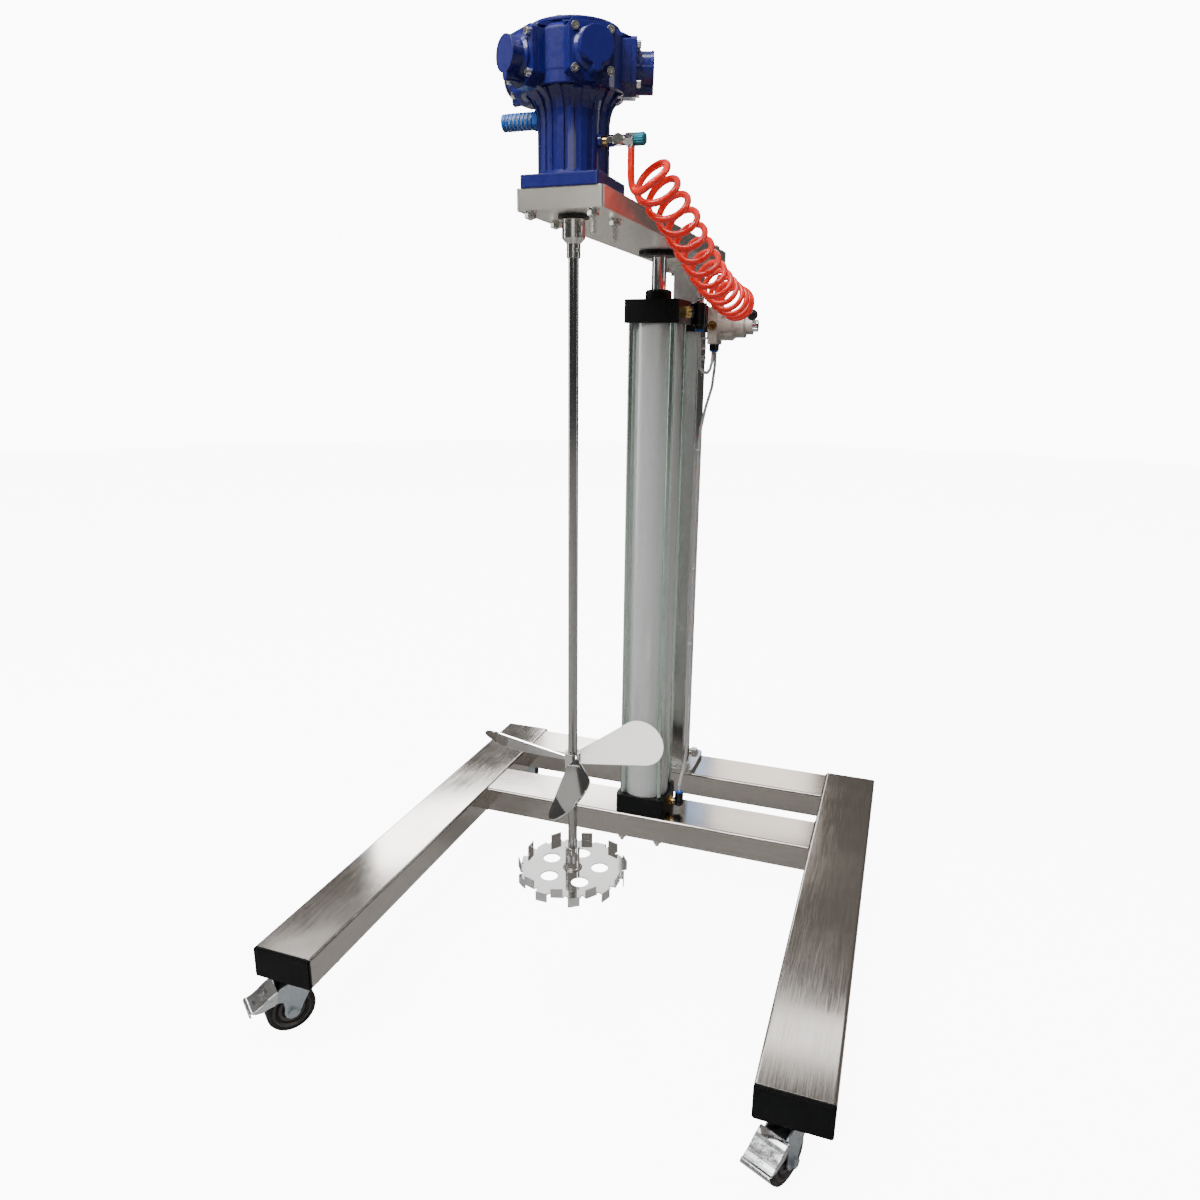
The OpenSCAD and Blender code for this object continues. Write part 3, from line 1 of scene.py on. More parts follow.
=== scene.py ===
# %% [markdown]
# # A pneumatic paint mixer on a wheeled lift stand
# The machine stands on a U-shaped base. An air cylinder lifts an arm, and a radial air motor on the
# arm turns a long shaft with a propeller and a toothed disc. The rigid pieces come from the packed
# CAD model, and stay where they are. This script gives them their finishes and adds what solids show
# badly: the coiled hose, the motor's studs, weld seams, and the raised words on the brake pedals.

import bmesh
import bpy
import numpy as np
from mathutils import Matrix, Vector


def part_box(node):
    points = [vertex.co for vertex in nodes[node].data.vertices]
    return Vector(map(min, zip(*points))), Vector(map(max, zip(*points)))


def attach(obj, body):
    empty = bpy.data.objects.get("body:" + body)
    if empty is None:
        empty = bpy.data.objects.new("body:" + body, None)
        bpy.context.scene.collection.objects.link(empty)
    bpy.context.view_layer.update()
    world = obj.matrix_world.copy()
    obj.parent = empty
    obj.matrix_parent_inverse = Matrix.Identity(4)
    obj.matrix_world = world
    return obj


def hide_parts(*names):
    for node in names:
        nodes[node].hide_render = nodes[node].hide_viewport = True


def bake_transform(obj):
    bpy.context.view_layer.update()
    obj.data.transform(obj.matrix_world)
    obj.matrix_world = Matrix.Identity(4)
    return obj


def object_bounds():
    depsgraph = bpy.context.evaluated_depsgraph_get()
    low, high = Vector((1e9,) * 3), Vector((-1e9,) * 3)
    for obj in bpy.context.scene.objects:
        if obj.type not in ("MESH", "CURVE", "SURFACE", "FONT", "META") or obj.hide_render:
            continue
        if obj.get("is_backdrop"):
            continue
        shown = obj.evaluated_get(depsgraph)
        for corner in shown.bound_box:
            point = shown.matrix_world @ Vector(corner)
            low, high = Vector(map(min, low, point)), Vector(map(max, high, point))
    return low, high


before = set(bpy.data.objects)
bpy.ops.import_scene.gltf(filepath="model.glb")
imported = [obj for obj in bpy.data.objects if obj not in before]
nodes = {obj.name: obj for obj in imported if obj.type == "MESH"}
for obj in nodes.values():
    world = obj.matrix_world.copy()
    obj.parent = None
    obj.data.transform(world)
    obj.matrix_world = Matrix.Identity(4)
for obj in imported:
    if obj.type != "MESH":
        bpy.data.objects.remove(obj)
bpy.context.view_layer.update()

# %% [markdown]
# ## Camera
# The photograph was taken from the front right at chest height, a little to the right of the motor.
# The eye's place and its turn were worked out from the corners of the base. A camera in Blender looks
# along its own -Z, so its matrix has the right, up and backward directions as columns.

# %% Camera
eye = np.array([0.4349, -1.3410, 1.0099])
turn_left, look_down, roll = np.radians([19.409, 15.356, 0.585])
forward = np.array([-np.sin(turn_left) * np.cos(look_down),
                    np.cos(turn_left) * np.cos(look_down), -np.sin(look_down)])
level = np.array([np.cos(turn_left), np.sin(turn_left), 0.0])
upright = np.cross(level, forward)
right = np.cos(roll) * level + np.sin(roll) * upright
up = -np.sin(roll) * level + np.cos(roll) * upright

camera_data = bpy.data.cameras.new("camera")
camera_data.sensor_width = 36.0
camera_data.lens = 26.27
camera_data.clip_start = 0.02
camera = bpy.data.objects.new("camera", camera_data)
bpy.context.scene.collection.objects.link(camera)
columns = np.eye(4)
columns[:3, 0], columns[:3, 1], columns[:3, 2], columns[:3, 3] = right, up, -forward, eye
camera.matrix_world = Matrix(columns.tolist())
bpy.context.scene.camera = camera
print("camera looks along", np.round(forward, 3))

# %% [markdown]
# ## Helpers for surfaces made with numpy
# Each new piece is a grid of points. `grid_mesh` joins the points of such a grid with quads, and can
# close it round the second direction, and cap its two ends. Long curves are drawn through a few given
# points with a spline, and then cut into steps of equal length, so that a tube along them is even.

# %% Mesh and curve helpers
def grid_mesh(name, grid, ring=True, caps=True):
    """A mesh from an array of points, rows by columns. ring joins the last column to the first."""
    rows, cols = grid.shape[:2]
    index = np.arange(rows * cols).reshape(rows, cols)
    beside = np.roll(index, -1, axis=1) if ring else index
    here, there = (index, beside) if ring else (index[:, :-1], index[:, 1:])
    quads = np.stack([here[:-1], there[:-1], there[1:], here[1:]], axis=-1).reshape(-1, 4)
    faces = quads.tolist()
    if ring and caps:
        faces += [index[0][::-1].tolist(), index[-1].tolist()]
    mesh = bpy.data.meshes.new(name)
    mesh.from_pydata(grid.reshape(-1, 3).tolist(), [], faces)
    mesh.update()
    return mesh


def new_piece(name, mesh, body, finish, smooth=True):
    """An object at the origin that rides on a CAD body, with its finish."""
    piece = bpy.data.objects.new(name, mesh)
    bpy.context.scene.collection.objects.link(piece)
    mesh.polygons.foreach_set("use_smooth", np.full(len(mesh.polygons), smooth))
    if finish:
        mesh.materials.append(finish)
    if body:
        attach(piece, body)
    return piece


def spline(points, per_span=12):
    """A smooth curve through the points: on each span, the cubic whose slope at a point is half the
    difference of that point's two neighbours (Catmull and Rom's rule)."""
    p = np.vstack([2 * points[0] - points[1], points, 2 * points[-1] - points[-2]])
    t = np.linspace(0, 1, per_span, endpoint=False)[:, None]
    before, start, end, after = p[:-3], p[1:-2], p[2:-1], p[3:]
    spans = [0.5 * (2 * s + (e - b) * t + (2 * b - 5 * s + 4 * e - a) * t**2
                    + (3 * s - b - 3 * e + a) * t**3)
             for b, s, e, a in zip(before, start, end, after)]
    return np.vstack(spans + [points[-1:]])


def length_along(path):
    """Distance from the start of a path to each of its points."""
    steps = np.linalg.norm(np.diff(path, axis=0), axis=1)
    return np.concatenate([[0.0], np.cumsum(steps)])


def even_steps(path, count):
    """The same path, with count points at equal distances."""
    s = length_along(path)
    wanted = np.linspace(0, s[-1], count)
    return np.column_stack([np.interp(wanted, s, path[:, i]) for i in range(3)])


def tube(path, radius, sides=16):
    """Rings of points round a path. The frame of each ring is the last one's, turned as little as
    possible: its side direction is the last side direction less its part along the new tangent."""
    tangent = np.gradient(path, axis=0)
    tangent /= np.linalg.norm(tangent, axis=1)[:, None]
    side = np.zeros_like(path)
    start = np.array([1.0, 0.0, 0.02])
    for i, t in enumerate(tangent):
        start = start - t * (start @ t)
        start = start / np.linalg.norm(start)
        side[i] = start
    other = np.cross(tangent, side)
    angle = np.linspace(0, 2 * np.pi, sides, endpoint=False)
    radius = np.broadcast_to(radius, len(path))[:, None, None]
    around = (np.cos(angle)[None, :, None] * side[:, None, :]
              + np.sin(angle)[None, :, None] * other[:, None, :])
    return path[:, None, :] + radius * around


# %% [markdown]
# ## The coiled air hose
# A polyurethane hose of 9 mm carries air from the hand valve to the motor. It is preformed into a coil
# so that it can stretch when the arm goes up. It drops straight out of the speed control, winds round a
# sagging axis, and comes back over the valve into its top fitting. The axis is given by the centre of
# each turn, wide apart at the motor, where the coil's weight pulls the turns open, and close at the
# valve. A soft coil also leans under its weight, so a turn doesn't face exactly along the axis.

# %% Route of the hose
hose_diameter = 0.009
hose_start = np.array([[79, -234, 1256.6], [79, -234, 1246], [79, -234, 1236], [79, -233.5, 1226],
                       [79.5, -232, 1216], [83, -232, 1208], [91, -237, 1205]]) / 1000
turn_centres = np.array([[96, -228, 1231], [102, -200, 1217], [107, -166, 1204], [110, -124, 1191.5],
                         [110.5, -78, 1179], [110, -31, 1166.5], [110, 17, 1153.5], [110, 65, 1141.5],
                         [110.5, 112, 1131.5], [111, 158, 1123.5], [112, 200, 1117], [112.5, 238, 1112.5],
                         [112, 272, 1110], [110.5, 302, 1109.5], [108, 330, 1110]]) / 1000
hose_end = np.array([[84, 327, 1138], [76, 339, 1147], [68, 358, 1158], [61, 376, 1162], [56, 387, 1157],
                     [53.8, 390, 1148], [53.5, 390, 1141], [53.5, 390, 1133.3]]) / 1000
coil_turns = len(turn_centres) - 1

axis_line = spline(turn_centres, 40)
share = np.linspace(0, 1, len(axis_line))
facing = np.gradient(axis_line, axis=0)
facing /= np.linalg.norm(facing, axis=1)[:, None]
lean = np.array([0.20, 0.0, -0.30])
facing += lean * (1 - 0.5 * share)[:, None]
facing /= np.linalg.norm(facing, axis=1)[:, None]
across = np.cross(facing, [0, 0, 1.0])
across /= np.linalg.norm(across, axis=1)[:, None]
above = np.cross(across, facing)
coil_radius = 0.0255 - 0.006 * share + 0.0085 * share**2
coil_angle = 2 * np.pi * coil_turns * share - 0.5 * np.pi
helix = (axis_line + (coil_radius * np.cos(coil_angle))[:, None] * across
         + (coil_radius * np.sin(coil_angle))[:, None] * above)
wound = helix[(share * coil_turns > 0.1) & (share * coil_turns < coil_turns - 0.44)]
joined = np.vstack([spline(hose_start), wound, spline(hose_end)])
hose_points = 1400
smoothing_passes = 14
hose_line = even_steps(joined, hose_points)
for _ in range(smoothing_passes):
    hose_line[1:-1] = (hose_line[:-2] + 2 * hose_line[1:-1] + hose_line[2:]) / 4
hose_length = length_along(hose_line)[-1]
bends = np.linalg.norm(np.diff(hose_line, 2, axis=0), axis=1) / (hose_length / (hose_points - 1)) ** 2
print(f"hose: {hose_length:.3f} m in {coil_turns} turns, tightest bend {1000 / bends.max():.1f} mm")

hose = new_piece("coil_hose_tube", grid_mesh("coil_hose_tube", tube(hose_line, hose_diameter / 2, 12)),
                 None, None)
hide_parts("coil_hose")
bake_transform(hose)

# %% [markdown]
# ## Studio
# The machine stands on a plain pale floor in front of a plain pale backdrop. Polished steel shows
# whatever stands round it, so a room that is white everywhere would wash it out. Here the floor and the
# backdrop are seen by the camera alone. The steel reflects a darker floor of its own and the sky: a grey
# room, dark at eye level, in which a few large soft panels hang like windows. They draw the bright bands
# on the rails.

# %% Floor and backdrop
def pale_sheet(name, grid, glow, for_camera=True):
    """A stage piece that shines a little by itself. Only the camera sees it, or only polished surfaces."""
    mesh = grid_mesh(name, grid, ring=True, caps=False)
    sheet = bpy.data.objects.new(name, mesh)
    bpy.context.scene.collection.objects.link(sheet)
    paint = bpy.data.materials.new(name + "_paint")
    paint.use_nodes = True
    shader = paint.node_tree.nodes["Principled BSDF"]
    shader.inputs["Base Color"].default_value = (0.85, 0.85, 0.85, 1)
    shader.inputs["Roughness"].default_value = 1.0
    shader.inputs["Specular IOR Level"].default_value = 0.0
    shader.inputs["Emission Color"].default_value = (1, 1, 1, 1)
    shader.inputs["Emission Strength"].default_value = glow
    mesh.materials.append(paint)
    sheet.visible_camera, sheet.visible_glossy = for_camera, not for_camera
    sheet.visible_diffuse = sheet.visible_transmission = False
    sheet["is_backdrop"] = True
    return sheet


around = np.linspace(0, 2 * np.pi, 96, endpoint=False)
reach = np.array([0.001, 1.0, 3.0, 6.0, 10.0])[:, None]
ground = np.stack([reach * np.cos(around), reach * np.sin(around), np.zeros((5, 96))], axis=-1)
pale_sheet("floor", ground, 9.5)
shown_floor = pale_sheet("floor_for_steel", ground - [0, 0, 0.001], 0.11, for_camera=False)
shown_floor.visible_shadow = False
rise = np.radians(np.linspace(-1, 89.9, 24))[:, None]
backdrop = pale_sheet("backdrop", 10 * np.stack([np.cos(rise) * np.cos(around), np.cos(rise) * np.sin(around),
                                                 np.sin(rise) + 0 * around], axis=-1), 10.5)
backdrop.visible_shadow = False

# %% Sky and soft panels
world = bpy.data.worlds.new("studio")
world.use_nodes = True
bpy.context.scene.world = world
sky_nodes = world.node_tree.nodes
direction = sky_nodes.new("ShaderNodeTexCoord")
height = sky_nodes.new("ShaderNodeSeparateXYZ")
shades = sky_nodes.new("ShaderNodeValToRGB")
to_ramp = sky_nodes.new("ShaderNodeMapRange")
to_ramp.inputs["From Min"].default_value = -1.0
world.node_tree.links.new(direction.outputs["Generated"], height.inputs[0])
world.node_tree.links.new(height.outputs["Z"], to_ramp.inputs["Value"])
world.node_tree.links.new(to_ramp.outputs["Result"], shades.inputs[0])
world.node_tree.links.new(shades.outputs["Color"], sky_nodes["Background"].inputs["Color"])
# Each tone: the place on the height scale, the grey, and the blue as a share of it.
room_tones = ((0.0, 0.05, 1.0), (0.40, 0.05, 1.0), (0.47, 0.06, 0.96), (0.54, 0.06, 0.95), (0.62, 0.10, 0.88),
        (0.75, 0.22, 0.86), (1.0, 0.40, 0.92))
stops = shades.color_ramp.elements
for at, _, _ in room_tones[1:-1]:
    stops.new(at)
for stop, (at, grey, blue) in zip(stops, room_tones):
    stop.position, stop.color = at, (grey, grey * (1 + blue) / 2, grey * blue, 1)
sky_nodes["Background"].inputs["Strength"].default_value = 1.0


def soft_panel(name, place, target, width, height, glow, tint=(1, 1, 1)):
    """A rectangular area light that faces the target. glow is its radiance; its power is pi x area x glow."""
    data = bpy.data.lights.new(name, "AREA")
    data.color = tint
    data.shape = "RECTANGLE"
    data.size, data.size_y, data.energy = width, height, np.pi * width * height * glow
    panel = bpy.data.objects.new(name, data)
    bpy.context.scene.collection.objects.link(panel)
    panel.location = place
    panel.rotation_euler = (Vector(target) - Vector(place)).to_track_quat("-Z", "Y").to_euler()
    panel.visible_camera = False


soft_panel("left_window", (-2.4, 3.7, 2.6), (0, 0, 0.2), 1.2, 0.45, 14)
soft_panel("low_window", (-2.9, 2.55, 2.95), (-0.4, -0.4, 0.2), 0.5, 0.16, 2.5)
soft_panel("rear_strip", (-0.1, 2.5, 2.6), (0, 0, 0.2), 1.2, 0.22, 4.0)
soft_panel("cross_window", (-1.6, 4.4, 2.2), (-0.2, 0.3, 0.2), 0.8, 0.8, 9)
soft_panel("cross_window_blue", (-0.85, 4.4, 2.2), (0.1, 0.3, 0.2), 0.16, 0.8, 3, (0.35, 0.55, 1.0))
soft_panel("cross_window_warm", (-0.35, 4.4, 2.2), (0.2, 0.3, 0.2), 0.7, 0.8, 4, (1.0, 0.94, 0.86))
soft_panel("disc_window", (-1.23, 2.94, 2.40), (0, -0.22, 0.25), 0.62, 0.46, 1.6)
soft_panel("blade_window", (2.0, 0.3, 2.75), (0.1, -0.15, 0.45), 1.1, 0.8, 1.9, (1.0, 0.99, 0.94))
soft_panel("front_panel", (-1.5, -3.4, 4.4), (0, -0.2, 1.0), 2.4, 2.0, 15)
soft_panel("arm_strip", (1.2, -4.8, 2.1), (0, -0.3, 1.2), 2.2, 0.5, 3)
soft_panel("left_strip", (-3.2, -0.8, 1.4), (0, 0, 0.8), 0.4, 2.6, 5)
soft_panel("right_strip", (3.4, 0.8, 1.4), (0, 0, 0.8), 0.3, 2.6, 3)
soft_panel("top_panel", (-0.3, -0.7, 3.6), (0, -0.1, 0.6), 1.6, 1.2, 8)
print("studio ready")

# %% [markdown]
# ## Finishes
# Every finish is a small network of nodes. Noise on object coordinates, stretched along the direction
# in which a piece was ground or drawn, changes the colour and the roughness a little and raises a fine
# bump. Numbers that are the same all over a surface stand on the shader itself.

# %% Finish helpers
def add(tree, kind, **inputs):
    """A node of that kind with its inputs set: a value, or the socket that feeds it."""
    node = tree.nodes.new(kind)
    for key, value in inputs.items():
        socket = node.inputs[int(key[1:])] if key[0] == "_" else node.inputs[key.replace("_", " ")]
        if isinstance(value, bpy.types.NodeSocket):
            tree.links.new(value, socket)
        else:
            socket.default_value = value
    return node


def noise(tree, scale, stretch=(1, 1, 1), detail=4.0, rough=0.6):
    """Noise on object coordinates. stretch scales each axis: a small value draws the grain out along it."""
    place = add(tree, "ShaderNodeTexCoord").outputs["Object"]
    turned = add(tree, "ShaderNodeMapping", Vector=place, Scale=stretch).outputs["Vector"]
    return add(tree, "ShaderNodeTexNoise", Vector=turned, Scale=scale, Detail=detail,
               Roughness=rough).outputs["Fac"]


def remap(tree, value, low, high, from_low=0.3, from_high=0.7):
    """The value moved from one range to another, and held inside it."""
    node = add(tree, "ShaderNodeMapRange", Value=value)
    node.inputs["From Min"].default_value, node.inputs["From Max"].default_value = from_low, from_high
    node.inputs["To Min"].default_value, node.inputs["To Max"].default_value = low, high
    return node.outputs["Result"]


def blend_colours(tree, share, first, second):
    """From the first colour at 0 to the second at 1. A colour is three numbers or a socket."""
    node = tree.nodes.new("ShaderNodeMix")
    node.data_type = "RGBA"
    tree.links.new(share, node.inputs[0])
    for socket, colour in ((node.inputs[6], first), (node.inputs[7], second)):
        if isinstance(colour, bpy.types.NodeSocket):
            tree.links.new(colour, socket)
        else:
            socket.default_value = (*colour, 1)
    return node.outputs[2]


def along_axis(tree, axis):
    """One of the object coordinates, 0 for X, 1 for Y, 2 for Z."""
    place = add(tree, "ShaderNodeTexCoord").outputs["Object"]
    return add(tree, "ShaderNodeSeparateXYZ", Vector=place).outputs[axis]


def distance_from_axis(tree, point, direction):
    """Distance of the surface from a line: the length of the cross product of the line's direction and
    the way from its point."""
    place = add(tree, "ShaderNodeTexCoord").outputs["Object"]
    away = add(tree, "ShaderNodeVectorMath", _0=place, _1=tuple(point))
    away.operation = "SUBTRACT"
    crossed = add(tree, "ShaderNodeVectorMath", _0=away.outputs[0], _1=tuple(direction))
    crossed.operation = "CROSS_PRODUCT"
    size = add(tree, "ShaderNodeVectorMath", _0=crossed.outputs[0])
    size.operation = "LENGTH"
    return size.outputs["Value"]


def base_colour(material):
    """The socket that feeds a finish's base colour, and the socket it feeds."""
    socket = material.node_tree.nodes["Principled BSDF"].inputs["Base Color"]
    return socket.links[0].from_socket, socket


def finish(name, colour, metal=0.0, rough=0.4, vary=0.08, rough_vary=0.08, grain=120.0, stretch=(1, 1, 1),
           bump=0.1, depth=0.0002, smudge=6.0, edge=0.0, **shader):
    """A finish with three layers: a fine grain that lifts a bump and shades the colour, large smudges that
    change the roughness, and an optional rounding of sharp edges by edge metres."""
    material = bpy.data.materials.new(name)
    material.use_nodes = True
    tree = material.node_tree
    surface = tree.nodes["Principled BSDF"]
    fine = noise(tree, grain, stretch)
    large = noise(tree, smudge, detail=3.0)
    colour = np.array(colour, float)
    shade = blend_colours(tree, remap(tree, fine, 0, 1), colour * (1 - vary),
                          np.minimum(colour * (1 + vary), 1))
    shade = blend_colours(tree, remap(tree, large, 0, 0.5), shade, np.minimum(colour * (1 + vary), 1))
    tree.links.new(shade, surface.inputs["Base Color"])
    mixed = add(tree, "ShaderNodeMath", _0=remap(tree, fine, -rough_vary, rough_vary),
                _1=remap(tree, large, rough - rough_vary, rough + rough_vary))
    tree.links.new(mixed.outputs[0], surface.inputs["Roughness"])
    lift = add(tree, "ShaderNodeBump", Strength=bump, Distance=depth, Height=fine)
    if edge:
        corner = tree.nodes.new("ShaderNodeBevel")
        corner.samples = 4
        corner.inputs["Radius"].default_value = edge
        tree.links.new(corner.outputs["Normal"], lift.inputs["Normal"])
    tree.links.new(lift.outputs["Normal"], surface.inputs["Normal"])
    surface.inputs["Metallic"].default_value = metal
    for key, value in shader.items():
        surface.inputs[key.replace("_", " ")].default_value = value
    return material


def dress(material, *names):
    """Gives CAD nodes a finish."""
    for name in names:
        slots = nodes[name].material_slots
        for slot in slots:
            slot.link = "DATA"
            slot.material = material
    print(f"{material.name}: {len(names)} pieces")


# %% [markdown]
# ## Stainless steel
# The rails are ground along their length, so their grain is noise drawn out along Y or X. The arm and
# the flanges are finer. The post, the bar, the shaft and the propeller are polished: almost no grain.

# %% Stainless finishes
steel = (0.46, 0.43, 0.40)
rail_steel = finish("rail_steel", steel, 1.0, 0.12, 0.12, 0.04, 900, (1, 0.02, 1), 0.08, 0.0001, 5, 0.0015)
cross_steel = finish("cross_steel", steel, 1.0, 0.15, 0.12, 0.04, 900, (0.02, 1, 1), 0.08, 0.0001, 5, 0.0015)
arm_steel = finish("arm_steel", (0.88, 0.85, 0.77), 1.0, 0.33, 0.04, 0.03, 900, (1, 0.03, 1), 0.03, 0.0001,
                   6, 0.0015)
post_steel = finish("post_steel", (0.56, 0.56, 0.55), 1.0, 0.20, 0.10, 0.06, 900, (1, 1, 0.01), 0.02,
                    0.0001, 14, 0.001)
flange_steel = finish("flange_steel", (0.62, 0.61, 0.58), 1.0, 0.22, 0.06, 0.06, 500, (1, 1, 1), 0.06,
                      0.0001, 12, 0.0008)
shaft_steel = finish("shaft_steel", (0.46, 0.46, 0.45), 1.0, 0.14, 0.06, 0.02, 1200, (1, 1, 0.01), 0.004,
                     0.00005, 8)
blade_steel = finish("blade_steel", (0.78, 0.78, 0.77), 1.0, 0.08, 0.04, 0.04, 300, (1, 1, 1), 0.03, 0.0001,
                     10, 0.0004)
dress(rail_steel, "left_side_rail", "right_side_rail")
dress(cross_steel, "front_cross_rail", "rear_cross_rail")
dress(arm_steel, "arm")
bar_steel = finish("bar_steel", (0.82, 0.82, 0.81), 1.0, 0.34, 0.04, 0.04, 700, (1, 1, 0.02), 0.02, 0.0001,
                   6, 0.001)
dress(post_steel, "guide_post")
dress(bar_steel, "guide_bar")
dress(flange_steel, "guide_foot_flange", "guide_bar_flange", "coupling", "valve_bracket")
dress(shaft_steel, "mixer_shaft")
dress(blade_steel, "propeller", "dispersing_disc")

# %% [markdown]
# ## Cylinder, fittings and small parts
# The barrel is drawn aluminium with a satin skin. Its caps are black anodised. The piston rod and the tie
# rods are bright, and the tie rods have a greenish passivated plating.

# %% Cylinder finishes
barrel_skin = finish("barrel_skin", (0.78, 0.81, 0.80), 0.45, 0.36, 0.03, 0.04, 700, (1, 1, 0.02), 0.04,
                     0.0001, 4)
cap_black = finish("cap_black", (0.003, 0.003, 0.0035), 0, 0.42, 0.25, 0.06, 1500, (1, 1, 1), 0.15, 0.0001,
                   20, 0.0008,
                   Specular_IOR_Level=0.2)
plated = finish("plated", (0.56, 0.68, 0.61), 1.0, 0.18, 0.06, 0.02, 800, (1, 1, 0.01), 0.004, 0.0001, 10)
bolt_zinc = finish("bolt_zinc", (0.66, 0.66, 0.62), 1.0, 0.26, 0.10, 0.06, 400, (1, 1, 1), 0.08, 0.0001, 40,
                   0.0005)
chrome = finish("chrome", (0.80, 0.80, 0.81), 1.0, 0.08, 0.03, 0.03, 600, (1, 1, 1), 0.02, 0.0001, 14, 0.0003)
turned_brass = finish("turned_brass", (0.50, 0.34, 0.13), 1.0, 0.24, 0.10, 0.06, 900, (1, 1, 1), 0.06,
                      0.0001, 40, 0.0003)
bronze = finish("bronze", (0.45, 0.28, 0.12), 1.0, 0.32, 0.10, 0.05, 500)
ground_steel = finish("ground_steel", (0.52, 0.53, 0.54), 1.0, 0.28, 0.08, 0.06, 500)
black_plastic = finish("black_plastic", (0.002, 0.002, 0.0025), 0, 0.45, 0.3, 0.08, 1400, (1, 1, 1), 0.2,
                       0.0001, 20, 0.001,
                       Specular_IOR_Level=0.15)
gloss_black = finish("gloss_black", (0.004, 0.004, 0.005), 0, 0.22, 0.3, 0.06, 900, (1, 1, 1), 0.06, 0.0001,
                     25, 0.001)
seal_black = finish("seal_black", (0.012, 0.012, 0.012), 0, 0.6, 0.3, 0.08, 900)
ring_blue = finish("ring_blue", (0.02, 0.12, 0.60), 0, 0.25, 0.1, 0.05, 600)
nylon = finish("nylon", (0.72, 0.69, 0.60), 0, 0.45, 0.05, 0.05, 500)
tie_white = finish("tie_white", (0.75, 0.75, 0.72), 0, 0.4, 0.05, 0.05, 800)
dress(barrel_skin, "cylinder_barrel")
dress(cap_black, "cylinder_foot_cap", "cylinder_head_cap", "rod_gland", "rod_flange", "piston")
dress(plated, "cylinder_tie_rods")
dress(chrome, "piston_rod", "valve_lever", "flow_screw")
# the speed control's first nipple is brass, the rest is nickel plated
nickel = finish("nickel", (0.62, 0.61, 0.58), 1.0, 0.20, 0.08, 0.05, 600, (1, 1, 1), 0.04, 0.0001, 30, 0.0004)
tree = nickel.node_tree
plain, socket = base_colour(nickel)
tree.links.new(blend_colours(tree, remap(tree, along_axis(tree, 0), 0, 1, 0.0489, 0.0491),
                             (0.62, 0.42, 0.16), plain),
               socket)
dress(nickel, "throttle_body")
dress(bolt_zinc, "stand_bolts", "cover_screws")
dress(black_plastic, "rail_end_caps", "guide_collar")
dress(gloss_black, "port_elbows", "lever_ball")
dress(seal_black, "shaft_seal")
dress(turned_brass, "brass_nipples")
dress(bronze, "distributor_sleeve")
dress(ground_steel, "crankshaft", "motor_bearings", "motor_pistons")
dress(ring_blue, "release_rings")
dress(nylon, "guide_shoe")
dress(tie_white, "cable_ties")

# %% [markdown]
# ## Motor and valve paint
# The motor's casting wears a thick blue gloss enamel over cast iron, so its bump is coarse and soft, like
# the skin of an orange. The hand valve has a cream enamel on a smoother casting.

# %% Paint finishes
motor_blue = finish("motor_blue", (0.010, 0.014, 0.210), 0, 0.36, 0.12, 0.06, 160, (1, 1, 1), 0.25, 0.0008,
                    25, 0.0025,
                    Coat_Weight=0.6, Coat_Roughness=0.05, Specular_IOR_Level=0.35)
valve_cream = finish("valve_cream", (0.92, 0.89, 0.80), 0, 0.30, 0.05, 0.05, 260, (1, 1, 1), 0.12, 0.0003,
                     30, 0.001,
                     Coat_Weight=0.4, Coat_Roughness=0.15)
knob_teal = finish("knob_teal", (0.010, 0.26, 0.34), 0.2, 0.30, 0.1, 0.05, 600, (1, 1, 1), 0.05, 0.0001, 30,
                   0.0003)
silencer_blue = finish("silencer_blue", (0.02, 0.16, 0.62), 0, 0.35, 0.1, 0.05, 600, (1, 1, 1), 0.05,
                       0.0001, 30, 0.0003)
dress(motor_blue, "motor_housing", "cylinder_covers", "motor_top_cover")
dress(valve_cream, "valve_body")
dress(knob_teal, "throttle_knob")
# between the silencer's ribs a pale mesh of sintered beads shows: blue outside 8.8 mm from its axis
tree = silencer_blue.node_tree
blue, socket = base_colour(silencer_blue)
core = np.mean(np.array(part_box("silencer"), float), axis=0)
inside = remap(tree, distance_from_axis(tree, core, (1, 0, 0)), 1, 0, 0.0087, 0.0089)
body_only = remap(tree, along_axis(tree, 0), 1, 0, -0.0515, -0.0510)
both = add(tree, "ShaderNodeMath", _0=inside, _1=body_only)
both.operation = "MULTIPLY"
beads = blend_colours(tree, remap(tree, noise(tree, 2500), 0, 1), (0.55, 0.62, 0.72), (0.90, 0.93, 0.96))
tree.links.new(blend_colours(tree, both.outputs[0], blue, beads), socket)
dress(silencer_blue, "silencer")

# %% [markdown]
# ## Hose and tubes
# Polyurethane is slightly see-through, so light goes into the red hose and comes out deeper red. The
# hose also glows faintly red by itself: painted light. The clear tubes show a milky wall.

# %% Hose finishes
# the faint red emission below is painted light: the hose glows though it is no lamp
hose_red = finish("hose_red", (1.0, 0.020, 0.010), 0, 0.20, 0.04, 0.04, 300, (1, 1, 1), 0.03, 0.0001, 20,
                  Coat_Weight=0.3, Coat_Roughness=0.05, Subsurface_Weight=0.2, Subsurface_Scale=0.004,
                  Emission_Color=(1.0, 0.015, 0.008, 1), Emission_Strength=0.22)
clear_tube = finish("clear_tube", (0.90, 0.92, 0.93), 0, 0.14, 0.03, 0.04, 300, (1, 1, 1), 0.03, 0.0001, 20,
                    Transmission_Weight=0.35, IOR=1.45, Subsurface_Weight=0.4, Subsurface_Scale=0.002)
hose.data.materials.clear()
hose.data.materials.append(hose_red)
dress(clear_tube, "air_tubes")

# %% [markdown]
# ## Casters
# The forks and pedals are bright zinc. The wheels are black with paler, dusty rings where the mould and
# the rim show, so their finish reads the distance from the axle.

